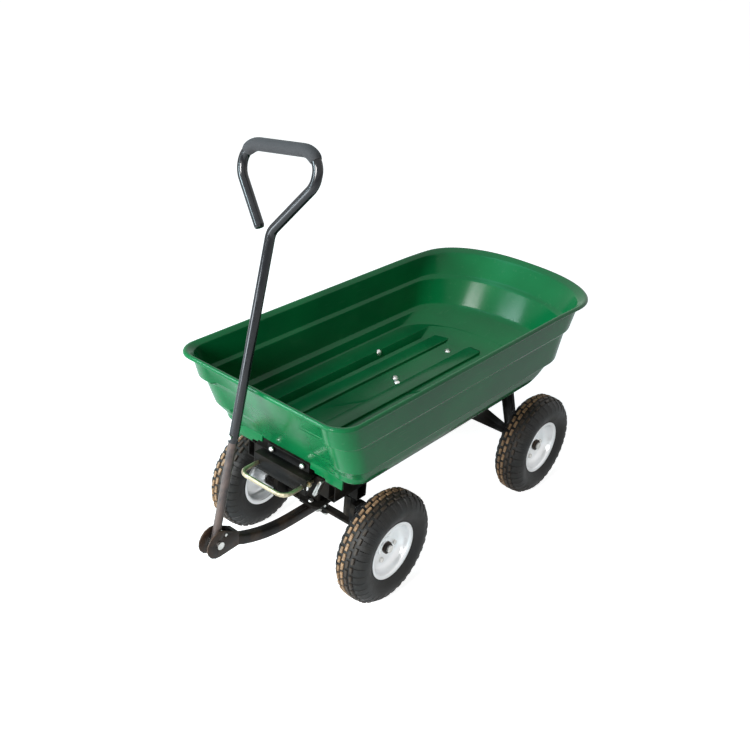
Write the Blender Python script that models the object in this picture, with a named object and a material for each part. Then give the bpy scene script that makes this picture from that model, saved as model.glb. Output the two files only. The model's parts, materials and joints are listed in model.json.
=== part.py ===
"""Four-wheel garden dump cart: a moulded tub that tips back on a steel chassis.

Metres, +Z up. The cart is drawn with its front axle at y = 0, its handle towards -Y and its
tail towards +Y, and then stands with the middle of its box over the origin.
Right is +X, as seen from the handle.
"""
from math import asin, atan2, cos, degrees, pi, radians, sin, sqrt, tan

import bmesh
import bpy
from mathutils import Vector

# Gaps that touching parts keep.
SEAT = 0.0003
FIT = 0.0003

# Wheels
WHEELBASE = 0.593
TYRE_RADIUS = 0.129
TYRE_WIDTH = 0.078
TYRE_SIDES = 20
TREAD_DEPTH = 0.0035
TREAD_WIDTH = 0.027
TREAD_SLOPE = 0.002
SHOULDER_DROP = 0.009
TYRE_WALL = 0.0065
BEAD_WIDTH = 0.0075
RIM_RADIUS = 0.0675
RIM_SEAT_RADIUS = 0.0575
RIM_INSIDE_WIDTH = 0.0524
RIM_SHEET = 0.0025
RIM_SIDES = 16
DISH_RADIUS = 0.0475
DISH_DEPTH = 0.0247
HUB_RADIUS = 0.0165
HUB_FLANGE_RADIUS = 0.0215
HUB_INNER_REACH = 0.035
HUB_OUTER_REACH = 0.0085
AXLE_RADIUS = 0.008
AXLE_NUT_ACROSS = 0.024
AXLE_NUT_HEIGHT = 0.0085
AXLE_END_REACH = 0.0038
COLLAR_RADIUS = 0.012
COLLAR_LENGTH = 0.0221

# Chassis
RAIL_WIDTH = 0.020
RAIL_HEIGHT = 0.040
RAIL_INSIDE_SPAN = 0.212
TUBE_WALL = 0.0025
RAIL_FRONT_Y = -0.095
RAIL_OVERHANG = 0.015
BEAM_DEPTH = 0.030
BEAM_HEIGHT = 0.036
BEAM_OVERHANG = 0.025
BEAM_ABOVE_AXLE = 0.0867
CROSS_MEMBER_DEPTH = 0.030
PIVOT_BLOCK_WIDTH = 0.036
PIVOT_BOLT_RADIUS = 0.006
PIVOT_BOLT_GRIP = 0.042
LEG_THICKNESS = 0.005
LEG_WIDTH = 0.045
LEG_TOP_RADIUS = 0.016
LEG_FOOT_RADIUS = 0.022
BRACE_FOOT_WIDTH = 0.022
BRACE_HEAD_WIDTH = 0.044
BRACE_FOOT_RISE = 0.036
BRACE_FOOT_SHIFT = 0.047
BRACE_REACH = 0.203

# Hinge of the tub
HINGE_AHEAD = 0.068
HINGE_TUBE_RADIUS = 0.011
HINGE_BOLT_RADIUS = 0.004
HINGE_BOLT_GRIP = 0.028

# Tub frame
FRAME_HEIGHT = 0.0284
BEARER_SPACING = 0.094
BEARER_WIDTH = 0.020
FRAME_BAR_DEPTH = 0.016
FRAME_BAR_RELIEF = 0.0005
SIDE_BAR_Y = 0.371
SIDE_BAR_DEPTH = 0.030
SIDE_BAR_LENGTH = 0.326

# Tub: heights above its underside, half widths and reaches from the front axle
TUB_WALL = 0.0045
TUB_DEPTH = 0.191
FLOOR_HALF_WIDTH = 0.181
FLOOR_FRONT_Y = -0.101
FLOOR_REAR_Y = 0.604
FLOOR_ROUND_WIDTH = 0.017
FLOOR_ROUND_HEIGHT = 0.024
ROUND_RISE_SHARE = 0.37
ROUND_WIDTH_SHARE = 0.70
RAMP_SHARES = (0.40, 0.66)
LOW_LEDGE_HEIGHT = 0.044
LOW_LEDGE_WIDTH = 0.010
LOW_LEDGE_REAR_Y = 0.690
HIGH_LEDGE_HEIGHT = 0.119
HIGH_LEDGE_WIDTH = 0.0065
HIGH_LEDGE_REAR_Y = 0.733
LEDGE_RISE = 0.007
TIER_DRAFT = 0.0015
RIM_REAR_Y = 0.794
RIM_FRONT_Y = -0.212
RIM_REAR_DIP = 0.0085
RIM_DIP_LENGTH = 0.270
FRONT_WALL_LEAN = 0.102
LIP_WIDTH = 0.0105
LIP_REAR_WIDTH = 0.019
LIP_DROP = 0.0085
LIP_LAND = 0.0045
LIP_EDGE = 0.003
RIM_CORNER_RADIUS = 0.048
FLOOR_CORNER_RADIUS = 0.034
RIM_CURVE_LENGTH = 0.169
FLOOR_CURVE_LENGTH = 0.125
RIM_SQUARENESS = 2.42
WALL_SQUARENESS = 2.24
FLOOR_SQUARENESS = 2.17
CORNER_HALF_SPAN = 0.130
CORNER_SPREAD = 0.030
CORNER_STEP = 0.006
LOW_BULGE = 0.0065
MIDDLE_BULGE = 0.0075
HIGH_BULGE = 0.0104
LEDGE_BULGE = 0.0015
CORNER_STEPS = 4
CURVE_STEPS = 14
RIB_HEIGHT = 0.007
RIB_WIDTH = 0.038
RIB_SPACING = 0.102
RIB_FRONT_GAP = 0.020
RIB_REAR_GAP = 0.025
SKIRT_THICKNESS = 0.005
SKIRT_DROP = 0.021
SKIRT_INNER_X = 0.0625
SKIRT_OUTER_X = 0.150
FLOOR_BOLT_RADIUS = 0.003
FLOOR_BOLT_HEAD_RADIUS = 0.0085
FLOOR_BOLT_HEAD_HEIGHT = 0.004
FLOOR_BOLT_GRIP = 0.024
BEARER_BOLT_YS = (0.306, 0.515)
SIDE_BOLT_X = 0.151

# Latch plate and bail
PLATE_THICKNESS = 0.003
PLATE_HALF_WIDTH = 0.075
FLANGE_HALF_WIDTH = 0.060
FLANGE_HEIGHT = 0.026
SHELF_REACH = 0.027
PLATE_FACE_HEIGHT = 0.038
LATCH_BOLT_RADIUS = 0.003
LATCH_BOLT_SPACING = 0.088
LATCH_BOLT_GRIP = 0.016
BAIL_WIRE_RADIUS = 0.005
WIRE_SIDES = 8
BAIL_HALF_WIDTH = 0.064
BAIL_REACH = 0.057
BAIL_CORNER = 0.020
BAIL_DROP = 0.016
BAIL_END_GAP = 0.0008
BAIL_COLLAR_RADIUS = 0.0085
BAIL_COLLAR_WIDTH = 0.004
BAIL_TRAVEL = 0.015

# Tongue and clevis
TONGUE_WIDTH = 0.022
TONGUE_HEIGHT = 0.024
TONGUE_ABOVE_AXLE = 0.014
TONGUE_TAIL = 0.042
TONGUE_STRAIGHT = 0.090
TONGUE_RISE = 0.036
STEER_PLATE_THICKNESS = 0.006
STEER_PLATE_WIDTH = 0.060
STEER_PLATE_FRONT = 0.040
TIE_BOLT_RADIUS = 0.004
TIE_BOLT_REACH = 0.027
CLEVIS_GAP = 0.022
CLEVIS_CHEEK = 0.003
CLEVIS_REAR_Y = -0.254
CLEVIS_SLOT_Y = -0.268
CLEVIS_REAR_DROP = 0.008
CLEVIS_REAR_HEIGHT = 0.033
CLEVIS_NOSE_RADIUS = 0.031
HANDLE_PIVOT_Y = -0.3075
HANDLE_PIVOT_Z = 0.199
HANDLE_PIVOT_RADIUS = 0.005
STOP_PIN_RADIUS = 0.0035
STOP_PIN_REACH = 0.020

# Steering
KINGPIN_INSET = 0.011
KINGPIN_RADIUS = 0.006
KINGPIN_NUT_ACROSS = 0.016
KINGPIN_NUT_HEIGHT = 0.009
KNUCKLE_RADIUS = 0.017
KNUCKLE_HEIGHT = 0.050
KNUCKLE_PLATE_OFFSET = 0.012
KNUCKLE_PLATE_THICKNESS = 0.012
KNUCKLE_PLATE_DEPTH = 0.040
ARM_THICKNESS = 0.008
ARM_EYE_RADIUS = 0.009
ROD_WIDTH = 0.020
ROD_THICKNESS = 0.006
ROD_BELOW_TONGUE = 0.012
ROD_STEP = 0.008

# Handle
HANDLE_LEAN = radians(12)
LOWER_TUBE_RADIUS = 0.0086
UPPER_TUBE_RADIUS = 0.0097
HANDLE_TUBE_WALL = 0.0012
BUSH_RADIUS = 0.0115
JOINT_BOLT_REACH = 0.232
JOINT_BOLT_RADIUS = 0.003
JOINT_OVERLAP = 0.012
HANDLE_BEND_REACH = 0.637
LOOP_SHOULDER = (0.081, 0.105)
LOOP_RIGHT = (0.081, 0.163)
LOOP_LEFT = (-0.099, 0.138)
LOOP_RETURN = (-0.097, 0.086)
LOOP_END = (-0.031, 0.003)
BEND_RADIUS = 0.034
SHOULDER_RADIUS = 0.042
LOOP_LEFT_RADIUS = 0.040
BEND_STEPS = 3
TUBE_SIDES = 10
GRIP_THICKNESS = 0.0034
END_PLUG_DEPTH = 0.012
END_PLUG_HEAD = 0.004

# Places that follow from the sizes above
AXLE_Z = TYRE_RADIUS
BEAM_BOTTOM = AXLE_Z + BEAM_ABOVE_AXLE
BEAM_TOP = BEAM_BOTTOM + BEAM_HEIGHT
RAIL_BOTTOM = BEAM_TOP + SEAT
RAIL_TOP = RAIL_BOTTOM + RAIL_HEIGHT
RAIL_INSIDE_X = RAIL_INSIDE_SPAN / 2
RAIL_OUTSIDE_X = RAIL_INSIDE_X + RAIL_WIDTH
HINGE_Y = WHEELBASE - HINGE_AHEAD
HINGE_Z = RAIL_TOP + SEAT + HINGE_TUBE_RADIUS
FRAME_BOTTOM = RAIL_TOP + SEAT
FRAME_TOP = FRAME_BOTTOM + FRAME_HEIGHT
TUB_BOTTOM = FRAME_TOP + SEAT
FLOOR_Z = TUB_BOTTOM + TUB_WALL
LEG_INSIDE_X = RAIL_OUTSIDE_X + SEAT
LEG_OUTSIDE_X = LEG_INSIDE_X + LEG_THICKNESS
HUB_INSIDE_X = LEG_OUTSIDE_X + COLLAR_LENGTH + 2 * SEAT
WHEEL_X = HUB_INSIDE_X + HUB_INNER_REACH
NUT_X = WHEEL_X + HUB_OUTER_REACH + SEAT
AXLE_END_X = NUT_X + AXLE_NUT_HEIGHT + AXLE_END_REACH
KINGPIN_X = RAIL_INSIDE_X - KINGPIN_INSET
TONGUE_Z = AXLE_Z + TONGUE_ABOVE_AXLE
TONGUE_BOTTOM = TONGUE_Z - TONGUE_HEIGHT / 2
STEER_PLATE_BOTTOM = TONGUE_Z + TONGUE_HEIGHT / 2 + SEAT
STEER_PLATE_TOP = STEER_PLATE_BOTTOM + STEER_PLATE_THICKNESS
BLOCK_BOTTOM = STEER_PLATE_TOP + SEAT
HANDLE_AXIS = Vector((0, sin(HANDLE_LEAN), cos(HANDLE_LEAN)))
HANDLE_FACE = Vector((0, cos(HANDLE_LEAN), -sin(HANDLE_LEAN)))
HANDLE_PIVOT = Vector((0, HANDLE_PIVOT_Y, HANDLE_PIVOT_Z))
CLEVIS_HALF_WIDTH = CLEVIS_GAP / 2 + CLEVIS_CHEEK
CLEVIS_NOSE_Y = HANDLE_PIVOT_Y - CLEVIS_NOSE_RADIUS
RIM_FACE = RIM_INSIDE_WIDTH / 2
DISC_U = RIM_FACE - DISH_DEPTH
GRIP_RADIUS = UPPER_TUBE_RADIUS + GRIP_THICKNESS

# How a point of a drawn outline (a, b) at a height h along an axis lies in the cart
ALONG = {
    "X": lambda a, b, h: Vector((h, a, b)),
    "Y": lambda a, b, h: Vector((a, h, b)),
    "Z": lambda a, b, h: Vector((a, b, h)),
}


def material(name, colour, roughness, metallic=0.0):
    """A Principled material of one colour."""
    made = bpy.data.materials.new(name)
    made.use_nodes = True
    shader = made.node_tree.nodes["Principled BSDF"]
    shader.inputs["Base Color"].default_value = (*colour, 1.0)
    shader.inputs["Roughness"].default_value = roughness
    shader.inputs["Metallic"].default_value = metallic
    made.diffuse_color = (*colour, 1.0)
    return made


def add_object(name, shape, finish):
    """Turns a bmesh into a named object whose faces point outwards."""
    bmesh.ops.recalc_face_normals(shape, faces=shape.faces)
    mesh = bpy.data.meshes.new(name)
    shape.to_mesh(mesh)
    shape.free()
    mesh.materials.append(finish)
    mesh.shade_smooth()
    mesh.set_sharp_from_angle(angle=radians(35))
    piece = bpy.data.objects.new(name, mesh)
    bpy.context.scene.collection.objects.link(piece)
    return piece


def skin_rings(shape, rings, closed=False):
    """Joins rings of points with quads. Open rows of rings get a cap at each end."""
    rows = [[shape.verts.new(point) for point in ring] for ring in rings]
    pairs = list(zip(rows, rows[1:]))
    if closed:
        pairs.append((rows[-1], rows[0]))
    else:
        shape.faces.new(rows[0])
        shape.faces.new(rows[-1])
    for low, high in pairs:
        for i in range(len(low)):
            j = (i + 1) % len(low)
            shape.faces.new((low[i], low[j], high[j], high[i]))


def loft(name, rings, finish, closed=False):
    """One body skinned over a row of rings."""
    shape = bmesh.new()
    skin_rings(shape, rings, closed)
    return add_object(name, shape, finish)


def prism(name, outline, axis, low, high, finish):
    """A flat outline extruded along an axis."""
    rings = [[ALONG[axis](a, b, h) for a, b in outline] for h in (low, high)]
    return loft(name, rings, finish)


def hollow_bar(name, outer, inner, axis, low, high, finish):
    """A tube of any section, open at both ends."""
    place = ALONG[axis]
    rings = [[place(a, b, low) for a, b in outer], [place(a, b, high) for a, b in outer],
             [place(a, b, high) for a, b in inner], [place(a, b, low) for a, b in inner]]
    return loft(name, rings, finish, closed=True)


def box(name, low, high, finish):
    """A block between two corners."""
    outline = [(low[0], low[1]), (high[0], low[1]), (high[0], high[1]), (low[0], high[1])]
    return prism(name, outline, "Z", low[2], high[2], finish)


def circle(a, b, radius, count, start=0.0):
    """Points round a centre, in the outline's plane."""
    turns = [start + 2 * pi * i / count for i in range(count)]
    return [(a + radius * cos(t), b + radius * sin(t)) for t in turns]


def arc(a, b, radius, start, end, steps):
    """Points on part of a circle, angles in degrees."""
    turns = [radians(start + (end - start) * i / steps) for i in range(steps + 1)]
    return [(a + radius * cos(t), b + radius * sin(t)) for t in turns]


def bore_radius(pin_radius, sides):
    """Radius of a polygonal bore whose flats clear the pin."""
    return (pin_radius + FIT) / cos(pi / sides)


def turned(name, profile, centre, axis, sides, finish, closed=False):
    """A lathe piece. The profile is (radius, place along the axis) from end to end."""
    rings = [[ALONG[axis](a, b, h) for a, b in circle(*centre, r, sides)] for r, h in profile]
    return loft(name, rings, finish, closed)


def hexagon(a, b, across, start=0.0):
    """Twelve points on a hexagon, its corners and the middles of its flats."""
    corner = across / sqrt(3)
    points = []
    for i in range(12):
        radius = corner if i % 2 == 0 else across / 2
        turn = start + pi * i / 6
        points.append((a + radius * cos(turn), b + radius * sin(turn)))
    return points


def nut(name, centre, axis, low, high, across, pin_radius, finish):
    """A hexagon nut round a pin."""
    outer = hexagon(*centre, across)
    inner = circle(*centre, bore_radius(pin_radius, 12), 12)
    return hollow_bar(name, outer, inner, axis, low, high, finish)


def bolt(name, centre, axis, seat, grip, head_across, head_height, radius, finish):
    """A hexagon bolt. Its head stands off the seat, away from the grip's direction."""
    way = 1 if grip > 0 else -1
    place = ALONG[axis]
    head = hexagon(*centre, head_across)
    shank = circle(*centre, radius, 12)
    top = seat - way * (SEAT + head_height)
    bottom = seat - way * SEAT
    rings = [[place(a, b, top) for a, b in head], [place(a, b, bottom) for a, b in head],
             [place(a, b, bottom) for a, b in shank], [place(a, b, seat + grip) for a, b in shank]]
    return loft(name, rings, finish)


def hide_cutter(cutter, piece):
    """Keeps a construction piece out of sight and with the piece it shapes."""
    cutter.hide_render = True
    cutter.display_type = "WIRE"
    cutter.parent = piece


def combine(piece, other, operation):
    """Welds another piece on, or cuts it out."""
    step = piece.modifiers.new(operation.title(), "BOOLEAN")
    step.operation = operation
    step.solver = "EXACT"
    step.object = other
    hide_cutter(other, piece)


def bore(piece, centre, axis, low, high, pin_radius, finish, sides=12):
    """A round hole that clears a pin."""
    profile = [(bore_radius(pin_radius, sides), low), (bore_radius(pin_radius, sides), high)]
    cutter = turned(piece.name + "_bore", profile, centre, axis, sides, finish)
    combine(piece, cutter, "DIFFERENCE")


def rounded_corner(before, corner, after, radius, steps):
    """Points on the arc that rounds a corner of a flat route."""
    a = (Vector(before) - Vector(corner)).normalized()
    b = (Vector(after) - Vector(corner)).normalized()
    half = a.angle(b) / 2
    centre = Vector(corner) + (a + b).normalized() * radius / sin(half)
    start = Vector(corner) + a * radius / tan(half)
    end = Vector(corner) + b * radius / tan(half)
    sweep_from = start - centre
    sweep_to = end - centre
    turn = sweep_from.angle(sweep_to)
    points = []
    for i in range(steps + 1):
        share = i / steps
        ray = sweep_from * sin((1 - share) * turn) + sweep_to * sin(share * turn)
        points.append(centre + ray / sin(turn))
    return points


def tube_rings(path, face, radius, sides):
    """Rings square to a flat path whose plane has the given normal."""
    rings = []
    for i, point in enumerate(path):
        ahead = path[min(i + 1, len(path) - 1)] - point
        behind = point - path[max(i - 1, 0)]
        way = (ahead.normalized() + behind.normalized()).normalized()
        side = way.cross(face).normalized()
        turns = [2 * pi * (k + 0.5) / sides for k in range(sides)]
        rings.append([point + radius * (cos(t) * face + sin(t) * side) for t in turns])
    return rings


def swept_tube(name, path, face, outer, inner, finish, stretch=slice(None)):
    """A bent round tube, open at both ends, along a stretch of the path."""
    rings = tube_rings(path, face, outer, TUBE_SIDES)[stretch]
    rings += list(reversed(tube_rings(path, face, inner, TUBE_SIDES)[stretch]))
    return loft(name, rings, finish, closed=True)


def swept_rod(name, path, face, radius, sides, finish):
    """A bent round rod."""
    return loft(name, tube_rings(path, face, radius, sides), finish)


def empty(name, place, parent):
    """A pivot that moving pieces hang from."""
    pivot = bpy.data.objects.new(name, None)
    pivot.empty_display_size = 0.03
    bpy.context.scene.collection.objects.link(pivot)
    pivot.location = place
    carry(parent, pivot)
    return pivot


def carry(parent, *pieces):
    """Hangs pieces from a parent and leaves them where they are."""
    bpy.context.view_layer.update()
    for piece in pieces:
        piece.parent = parent
        if parent is not None:
            piece.matrix_parent_inverse = parent.matrix_world.inverted()


# Tub

def tier_stations():
    """Outer stations of the tub, from the underside up: height, half width, rear end and corner bulge."""
    low = FLOOR_HALF_WIDTH + FLOOR_ROUND_WIDTH
    low_top = low + 2 * TIER_DRAFT
    middle = low_top + LOW_LEDGE_WIDTH
    middle_top = middle + TIER_DRAFT
    high = middle_top + HIGH_LEDGE_WIDTH
    ramp = LOW_LEDGE_REAR_Y - FLOOR_REAR_Y
    middle_rear = LOW_LEDGE_REAR_Y + LOW_LEDGE_WIDTH + LEDGE_RISE / 2
    high_rear = HIGH_LEDGE_REAR_Y + HIGH_LEDGE_WIDTH + LEDGE_RISE / 2
    return [
        (0, FLOOR_HALF_WIDTH, FLOOR_REAR_Y, 0),
        (FLOOR_ROUND_HEIGHT * ROUND_RISE_SHARE, FLOOR_HALF_WIDTH + FLOOR_ROUND_WIDTH * ROUND_WIDTH_SHARE,
         FLOOR_REAR_Y + ramp * RAMP_SHARES[0], LOW_BULGE),
        (FLOOR_ROUND_HEIGHT, low, FLOOR_REAR_Y + ramp * RAMP_SHARES[1], LEDGE_BULGE),
        (LOW_LEDGE_HEIGHT, low_top, LOW_LEDGE_REAR_Y, MIDDLE_BULGE),
        (LOW_LEDGE_HEIGHT + LEDGE_RISE, middle, middle_rear, MIDDLE_BULGE),
        (HIGH_LEDGE_HEIGHT, middle_top, HIGH_LEDGE_REAR_Y, LEDGE_BULGE),
        (HIGH_LEDGE_HEIGHT + LEDGE_RISE, high, high_rear, HIGH_BULGE),
        (TUB_DEPTH - LIP_DROP, high + TIER_DRAFT, RIM_REAR_Y - LIP_REAR_WIDTH, 0),
    ]


def front_y(height):
    """The flat panel of the front wall at a height above the tub's underside."""
    return FLOOR_FRONT_Y - FRONT_WALL_LEAN * height / TUB_DEPTH


def rear_dip(height, y):
    """How far the tub's wall sinks towards the tail, most at the rim."""
    share = min(1, max(0, 1 - (RIM_REAR_Y - y) / RIM_DIP_LENGTH))
    return RIM_REAR_DIP * (height / TUB_DEPTH) ** 3 * share ** 2 * (3 - 2 * share)


def tub_ring(height, half_width, rear_y, panel_y, corner_y, inset=0.0, top_squareness=WALL_SQUARENESS):
    """One closed outline: a front panel between two corners that may stand forward, and a round rear."""
    share = height / TUB_DEPTH
    curve = FLOOR_CURVE_LENGTH + (RIM_CURVE_LENGTH - FLOOR_CURVE_LENGTH) * share
    power = FLOOR_SQUARENESS + (top_squareness - FLOOR_SQUARENESS) * share
    corner = FLOOR_CORNER_RADIUS + (RIM_CORNER_RADIUS - FLOOR_CORNER_RADIUS) * share - inset
    panel_x = CORNER_HALF_SPAN + CORNER_SPREAD * share + inset / 2
    start_y = rear_y - curve
    outline = [(panel_x, panel_y), (panel_x + CORNER_STEP, corner_y)]
    outline += arc(half_width - corner, corner_y + corner, corner, -90, 0, CORNER_STEPS)
    for i in range(CURVE_STEPS + 1):
        turn = pi * i / CURVE_STEPS
        x = half_width * abs(cos(turn)) ** (2 / power) * (1 if i <= CURVE_STEPS / 2 else -1)
        outline.append((x, start_y + curve * sin(turn) ** (2 / power)))
    outline += arc(corner - half_width, corner_y + corner, corner, 180, 270, CORNER_STEPS)
    outline += [(-panel_x - CORNER_STEP, corner_y), (-panel_x, panel_y)]
    return [Vector((x, y, TUB_BOTTOM + height - rear_dip(height, y))) for x, y in outline]


def moved_in(profile):
    """A wall's profile of heights and reaches, moved into the tub by its thickness."""
    points = [Vector((0, 0))] + [Vector((reach, height)) for height, reach in profile]
    ways = [(after - before).normalized() for before, after in zip(points, points[1:])]
    moved = []
    for before, after, point in zip(ways, ways[1:] + ways[-1:], points[1:]):
        mitre = (before + after).normalized()
        inner = point + Vector((-mitre.y, mitre.x)) * TUB_WALL / max(0.5, mitre.dot(before))
        moved.append((inner.y, inner.x))
    return moved


def reach_at(profile, height):
    """How far a profile reaches at a height."""
    for (low, near), (high, far) in zip(profile, profile[1:]):
        if height <= high:
            return near + (far - near) * max(0, height - low) / (high - low)
    return profile[-1][1]


def outer_rings():
    """The tub's outer wall, ring by ring from its underside up."""
    rings = []
    for height, width, rear, bulge in tier_stations():
        panel = front_y(height)
        rings.append(tub_ring(height, width, rear, panel, panel - bulge))
    return rings


def lip_rings():
    """The lip, from under its outer edge over the top to its inner edge."""
    top_width = tier_stations()[-1][1] + LIP_WIDTH
    rings = []
    for inset, drop in ((0, LIP_DROP), (0, LIP_EDGE), (LIP_EDGE, 0), (LIP_EDGE + LIP_LAND, 0)):
        front = RIM_FRONT_Y + inset
        rings.append(tub_ring(TUB_DEPTH - drop, top_width - inset, RIM_REAR_Y - inset, front, front, inset,
                              RIM_SQUARENESS))
    return rings


def inner_rings():
    """The tub's inner wall, ring by ring from under the lip down to the floor."""
    stations = tier_stations()
    sides = moved_in([(height, width) for height, width, _, _ in stations])
    corners = moved_in([(height, bulge - front_y(height)) for height, _, _, bulge in stations])
    slant = sqrt(1 + (FRONT_WALL_LEAN / TUB_DEPTH) ** 2)
    rings = []
    for (height, inner), (_, outer, rear, _) in zip(sides, stations):
        rings.append(tub_ring(height, inner, rear + inner - outer, front_y(height) + TUB_WALL * slant,
                              -reach_at(corners, height), TUB_WALL))
    return list(reversed(rings))


def tub_bolt_places():
    """Where the bolts hold the tub down."""
    bearer_x = BEARER_SPACING / 2
    places = [(side * bearer_x, y) for y in BEARER_BOLT_YS for side in (-1, 1)]
    return places + [(side * SIDE_BOLT_X, SIDE_BAR_Y) for side in (-1, 1)]


def bolt_hole_cutter(piece, finish):
    """Holes for all the floor bolts."""
    for x, y in tub_bolt_places():
        bore(piece, (x, y), "Z", FRAME_TOP - FLOOR_BOLT_GRIP, FLOOR_Z + 0.02, FLOOR_BOLT_RADIUS, finish, 8)


def floor_rib(x, finish):
    """A raised rib moulded on the floor."""
    half = RIB_WIDTH / 2
    low = FLOOR_Z - TUB_WALL / 3
    top = FLOOR_Z + RIB_HEIGHT
    outline = [(x - half, low), (x + half, low), (x + half - RIB_HEIGHT / 4, top),
               (x - half + RIB_HEIGHT / 4, top)]
    return prism("rib", outline, "Y", FLOOR_FRONT_Y + RIB_FRONT_GAP, FLOOR_REAR_Y - RIB_REAR_GAP, finish)


def make_tub(plastic):
    """The moulded tub with ledges, rolled lip, ribbed floor and two skirts under its front."""
    tub = loft("tub", outer_rings() + lip_rings() + inner_rings(), plastic)
    for x in (-RIB_SPACING, 0, RIB_SPACING):
        combine(tub, floor_rib(x, plastic), "UNION")
    for side in (-1, 1):
        xs = sorted((side * SKIRT_INNER_X, side * SKIRT_OUTER_X))
        near = FLOOR_FRONT_Y - SKIRT_THICKNESS * 0.7
        skirt = box("skirt", (xs[0], near, TUB_BOTTOM - SKIRT_DROP),
                    (xs[1], near + SKIRT_THICKNESS, TUB_BOTTOM + TUB_WALL * 0.7), plastic)
        combine(tub, skirt, "UNION")
    bolt_hole_cutter(tub, plastic)
    return tub


def make_floor_bolts(zinc):
    """Round-headed bolts through the tub's floor into its frame."""
    bolts = []
    low = FRAME_TOP - FLOOR_BOLT_GRIP / 2
    base = FLOOR_Z + SEAT
    for i, (x, y) in enumerate(tub_bolt_places()):
        profile = [(FLOOR_BOLT_RADIUS, low), (FLOOR_BOLT_RADIUS, base), (FLOOR_BOLT_HEAD_RADIUS, base),
                   (FLOOR_BOLT_HEAD_RADIUS * 0.6, base + FLOOR_BOLT_HEAD_HEIGHT)]
        bolts.append(turned(f"floor_bolt_{i + 1}", profile, (x, y), "Z", 8, zinc))
    return bolts


def make_tub_frame(steel):
    """Two bearers under the floor, a front bar, a side bar and the hinge tube, welded."""
    inner = BEARER_SPACING / 2 - BEARER_WIDTH / 2
    rear = HINGE_Y + HINGE_TUBE_RADIUS + 0.002
    front = FLOOR_FRONT_Y + 0.003
    bearers = []
    for side in (-1, 1):
        xs = sorted((side * inner, side * (inner + BEARER_WIDTH)))
        bearers.append(box("tub_frame", (xs[0], front, FRAME_BOTTOM), (xs[1], rear, FRAME_TOP), steel))
    frame = bearers[0]
    combine(frame, bearers[1], "UNION")
    low = FRAME_BOTTOM + FRAME_BAR_RELIEF
    high = FRAME_TOP - FRAME_BAR_RELIEF
    bar = box("front_bar", (-FLANGE_HALF_WIDTH, FLOOR_FRONT_Y, low),
              (FLANGE_HALF_WIDTH, FLOOR_FRONT_Y + FRAME_BAR_DEPTH, high), steel)
    side_bar = box("side_bar", (-SIDE_BAR_LENGTH / 2, SIDE_BAR_Y - SIDE_BAR_DEPTH / 2, low),
                   (SIDE_BAR_LENGTH / 2, SIDE_BAR_Y + SIDE_BAR_DEPTH / 2, high), steel)
    reach = LEG_INSIDE_X - SEAT
    tube = turned("hinge_tube", [(HINGE_TUBE_RADIUS, -reach), (HINGE_TUBE_RADIUS, reach)],
                  (HINGE_Y, HINGE_Z), "X", 12, steel)
    for part in (bar, side_bar, tube):
        combine(frame, part, "UNION")
    bore(frame, (HINGE_Y, HINGE_Z), "X", -reach - 0.01, reach + 0.01, HINGE_BOLT_RADIUS, steel)
    bolt_hole_cutter(frame, steel)
    for side in (-1, 1):
        bore(frame, (side * LATCH_BOLT_SPACING / 2, latch_bolt_z()), "Y", FLOOR_FRONT_Y - 0.01,
             FLOOR_FRONT_Y + FRAME_BAR_DEPTH + 0.01, LATCH_BOLT_RADIUS, steel, 8)
    return frame


# Latch

def latch_bolt_z():
    """Height of the two bolts that hold the latch plate."""
    return FRAME_BOTTOM + FRAME_HEIGHT * 0.6


def bail_z():
    """Height of the bail's wire."""
    return FRAME_BOTTOM - BAIL_DROP


def plate_face_y():
    """Front face of the latch plate."""
    return FLOOR_FRONT_Y - SEAT - SHELF_REACH


def make_latch_plate(steel):
    """A bent plate: a flange on the tub frame, a shelf forward and a face that guides the bail."""
    flange_rear = FLOOR_FRONT_Y - SEAT
    flange_front = flange_rear - PLATE_THICKNESS
    shelf_top = FRAME_BOTTOM + 2 * PLATE_THICKNESS
    shelf_bottom = shelf_top - PLATE_THICKNESS
    face_y = plate_face_y()
    bottom = shelf_top - PLATE_FACE_HEIGHT
    shelf = [(flange_rear, shelf_bottom), (flange_rear, shelf_top), (face_y, shelf_top), (face_y, bottom),
             (face_y + PLATE_THICKNESS, bottom), (face_y + PLATE_THICKNESS, shelf_bottom)]
    plate = prism("latch_plate", shelf, "X", -PLATE_HALF_WIDTH, PLATE_HALF_WIDTH, steel)
    flange = box("flange", (-FLANGE_HALF_WIDTH, flange_front, shelf_bottom + PLATE_THICKNESS / 2),
                 (FLANGE_HALF_WIDTH, flange_rear, FRAME_BOTTOM + FLANGE_HEIGHT), steel)
    combine(plate, flange, "UNION")
    for side in (-1, 1):
        bore(plate, (side * BAIL_HALF_WIDTH, bail_z()), "Y", face_y - 0.01,
             face_y + PLATE_THICKNESS + 0.01, BAIL_WIRE_RADIUS, steel)
        bore(plate, (side * LATCH_BOLT_SPACING / 2, latch_bolt_z()), "Y", flange_front - 0.005,
             flange_rear + 0.005, LATCH_BOLT_RADIUS, steel, 8)
    return plate


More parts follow.
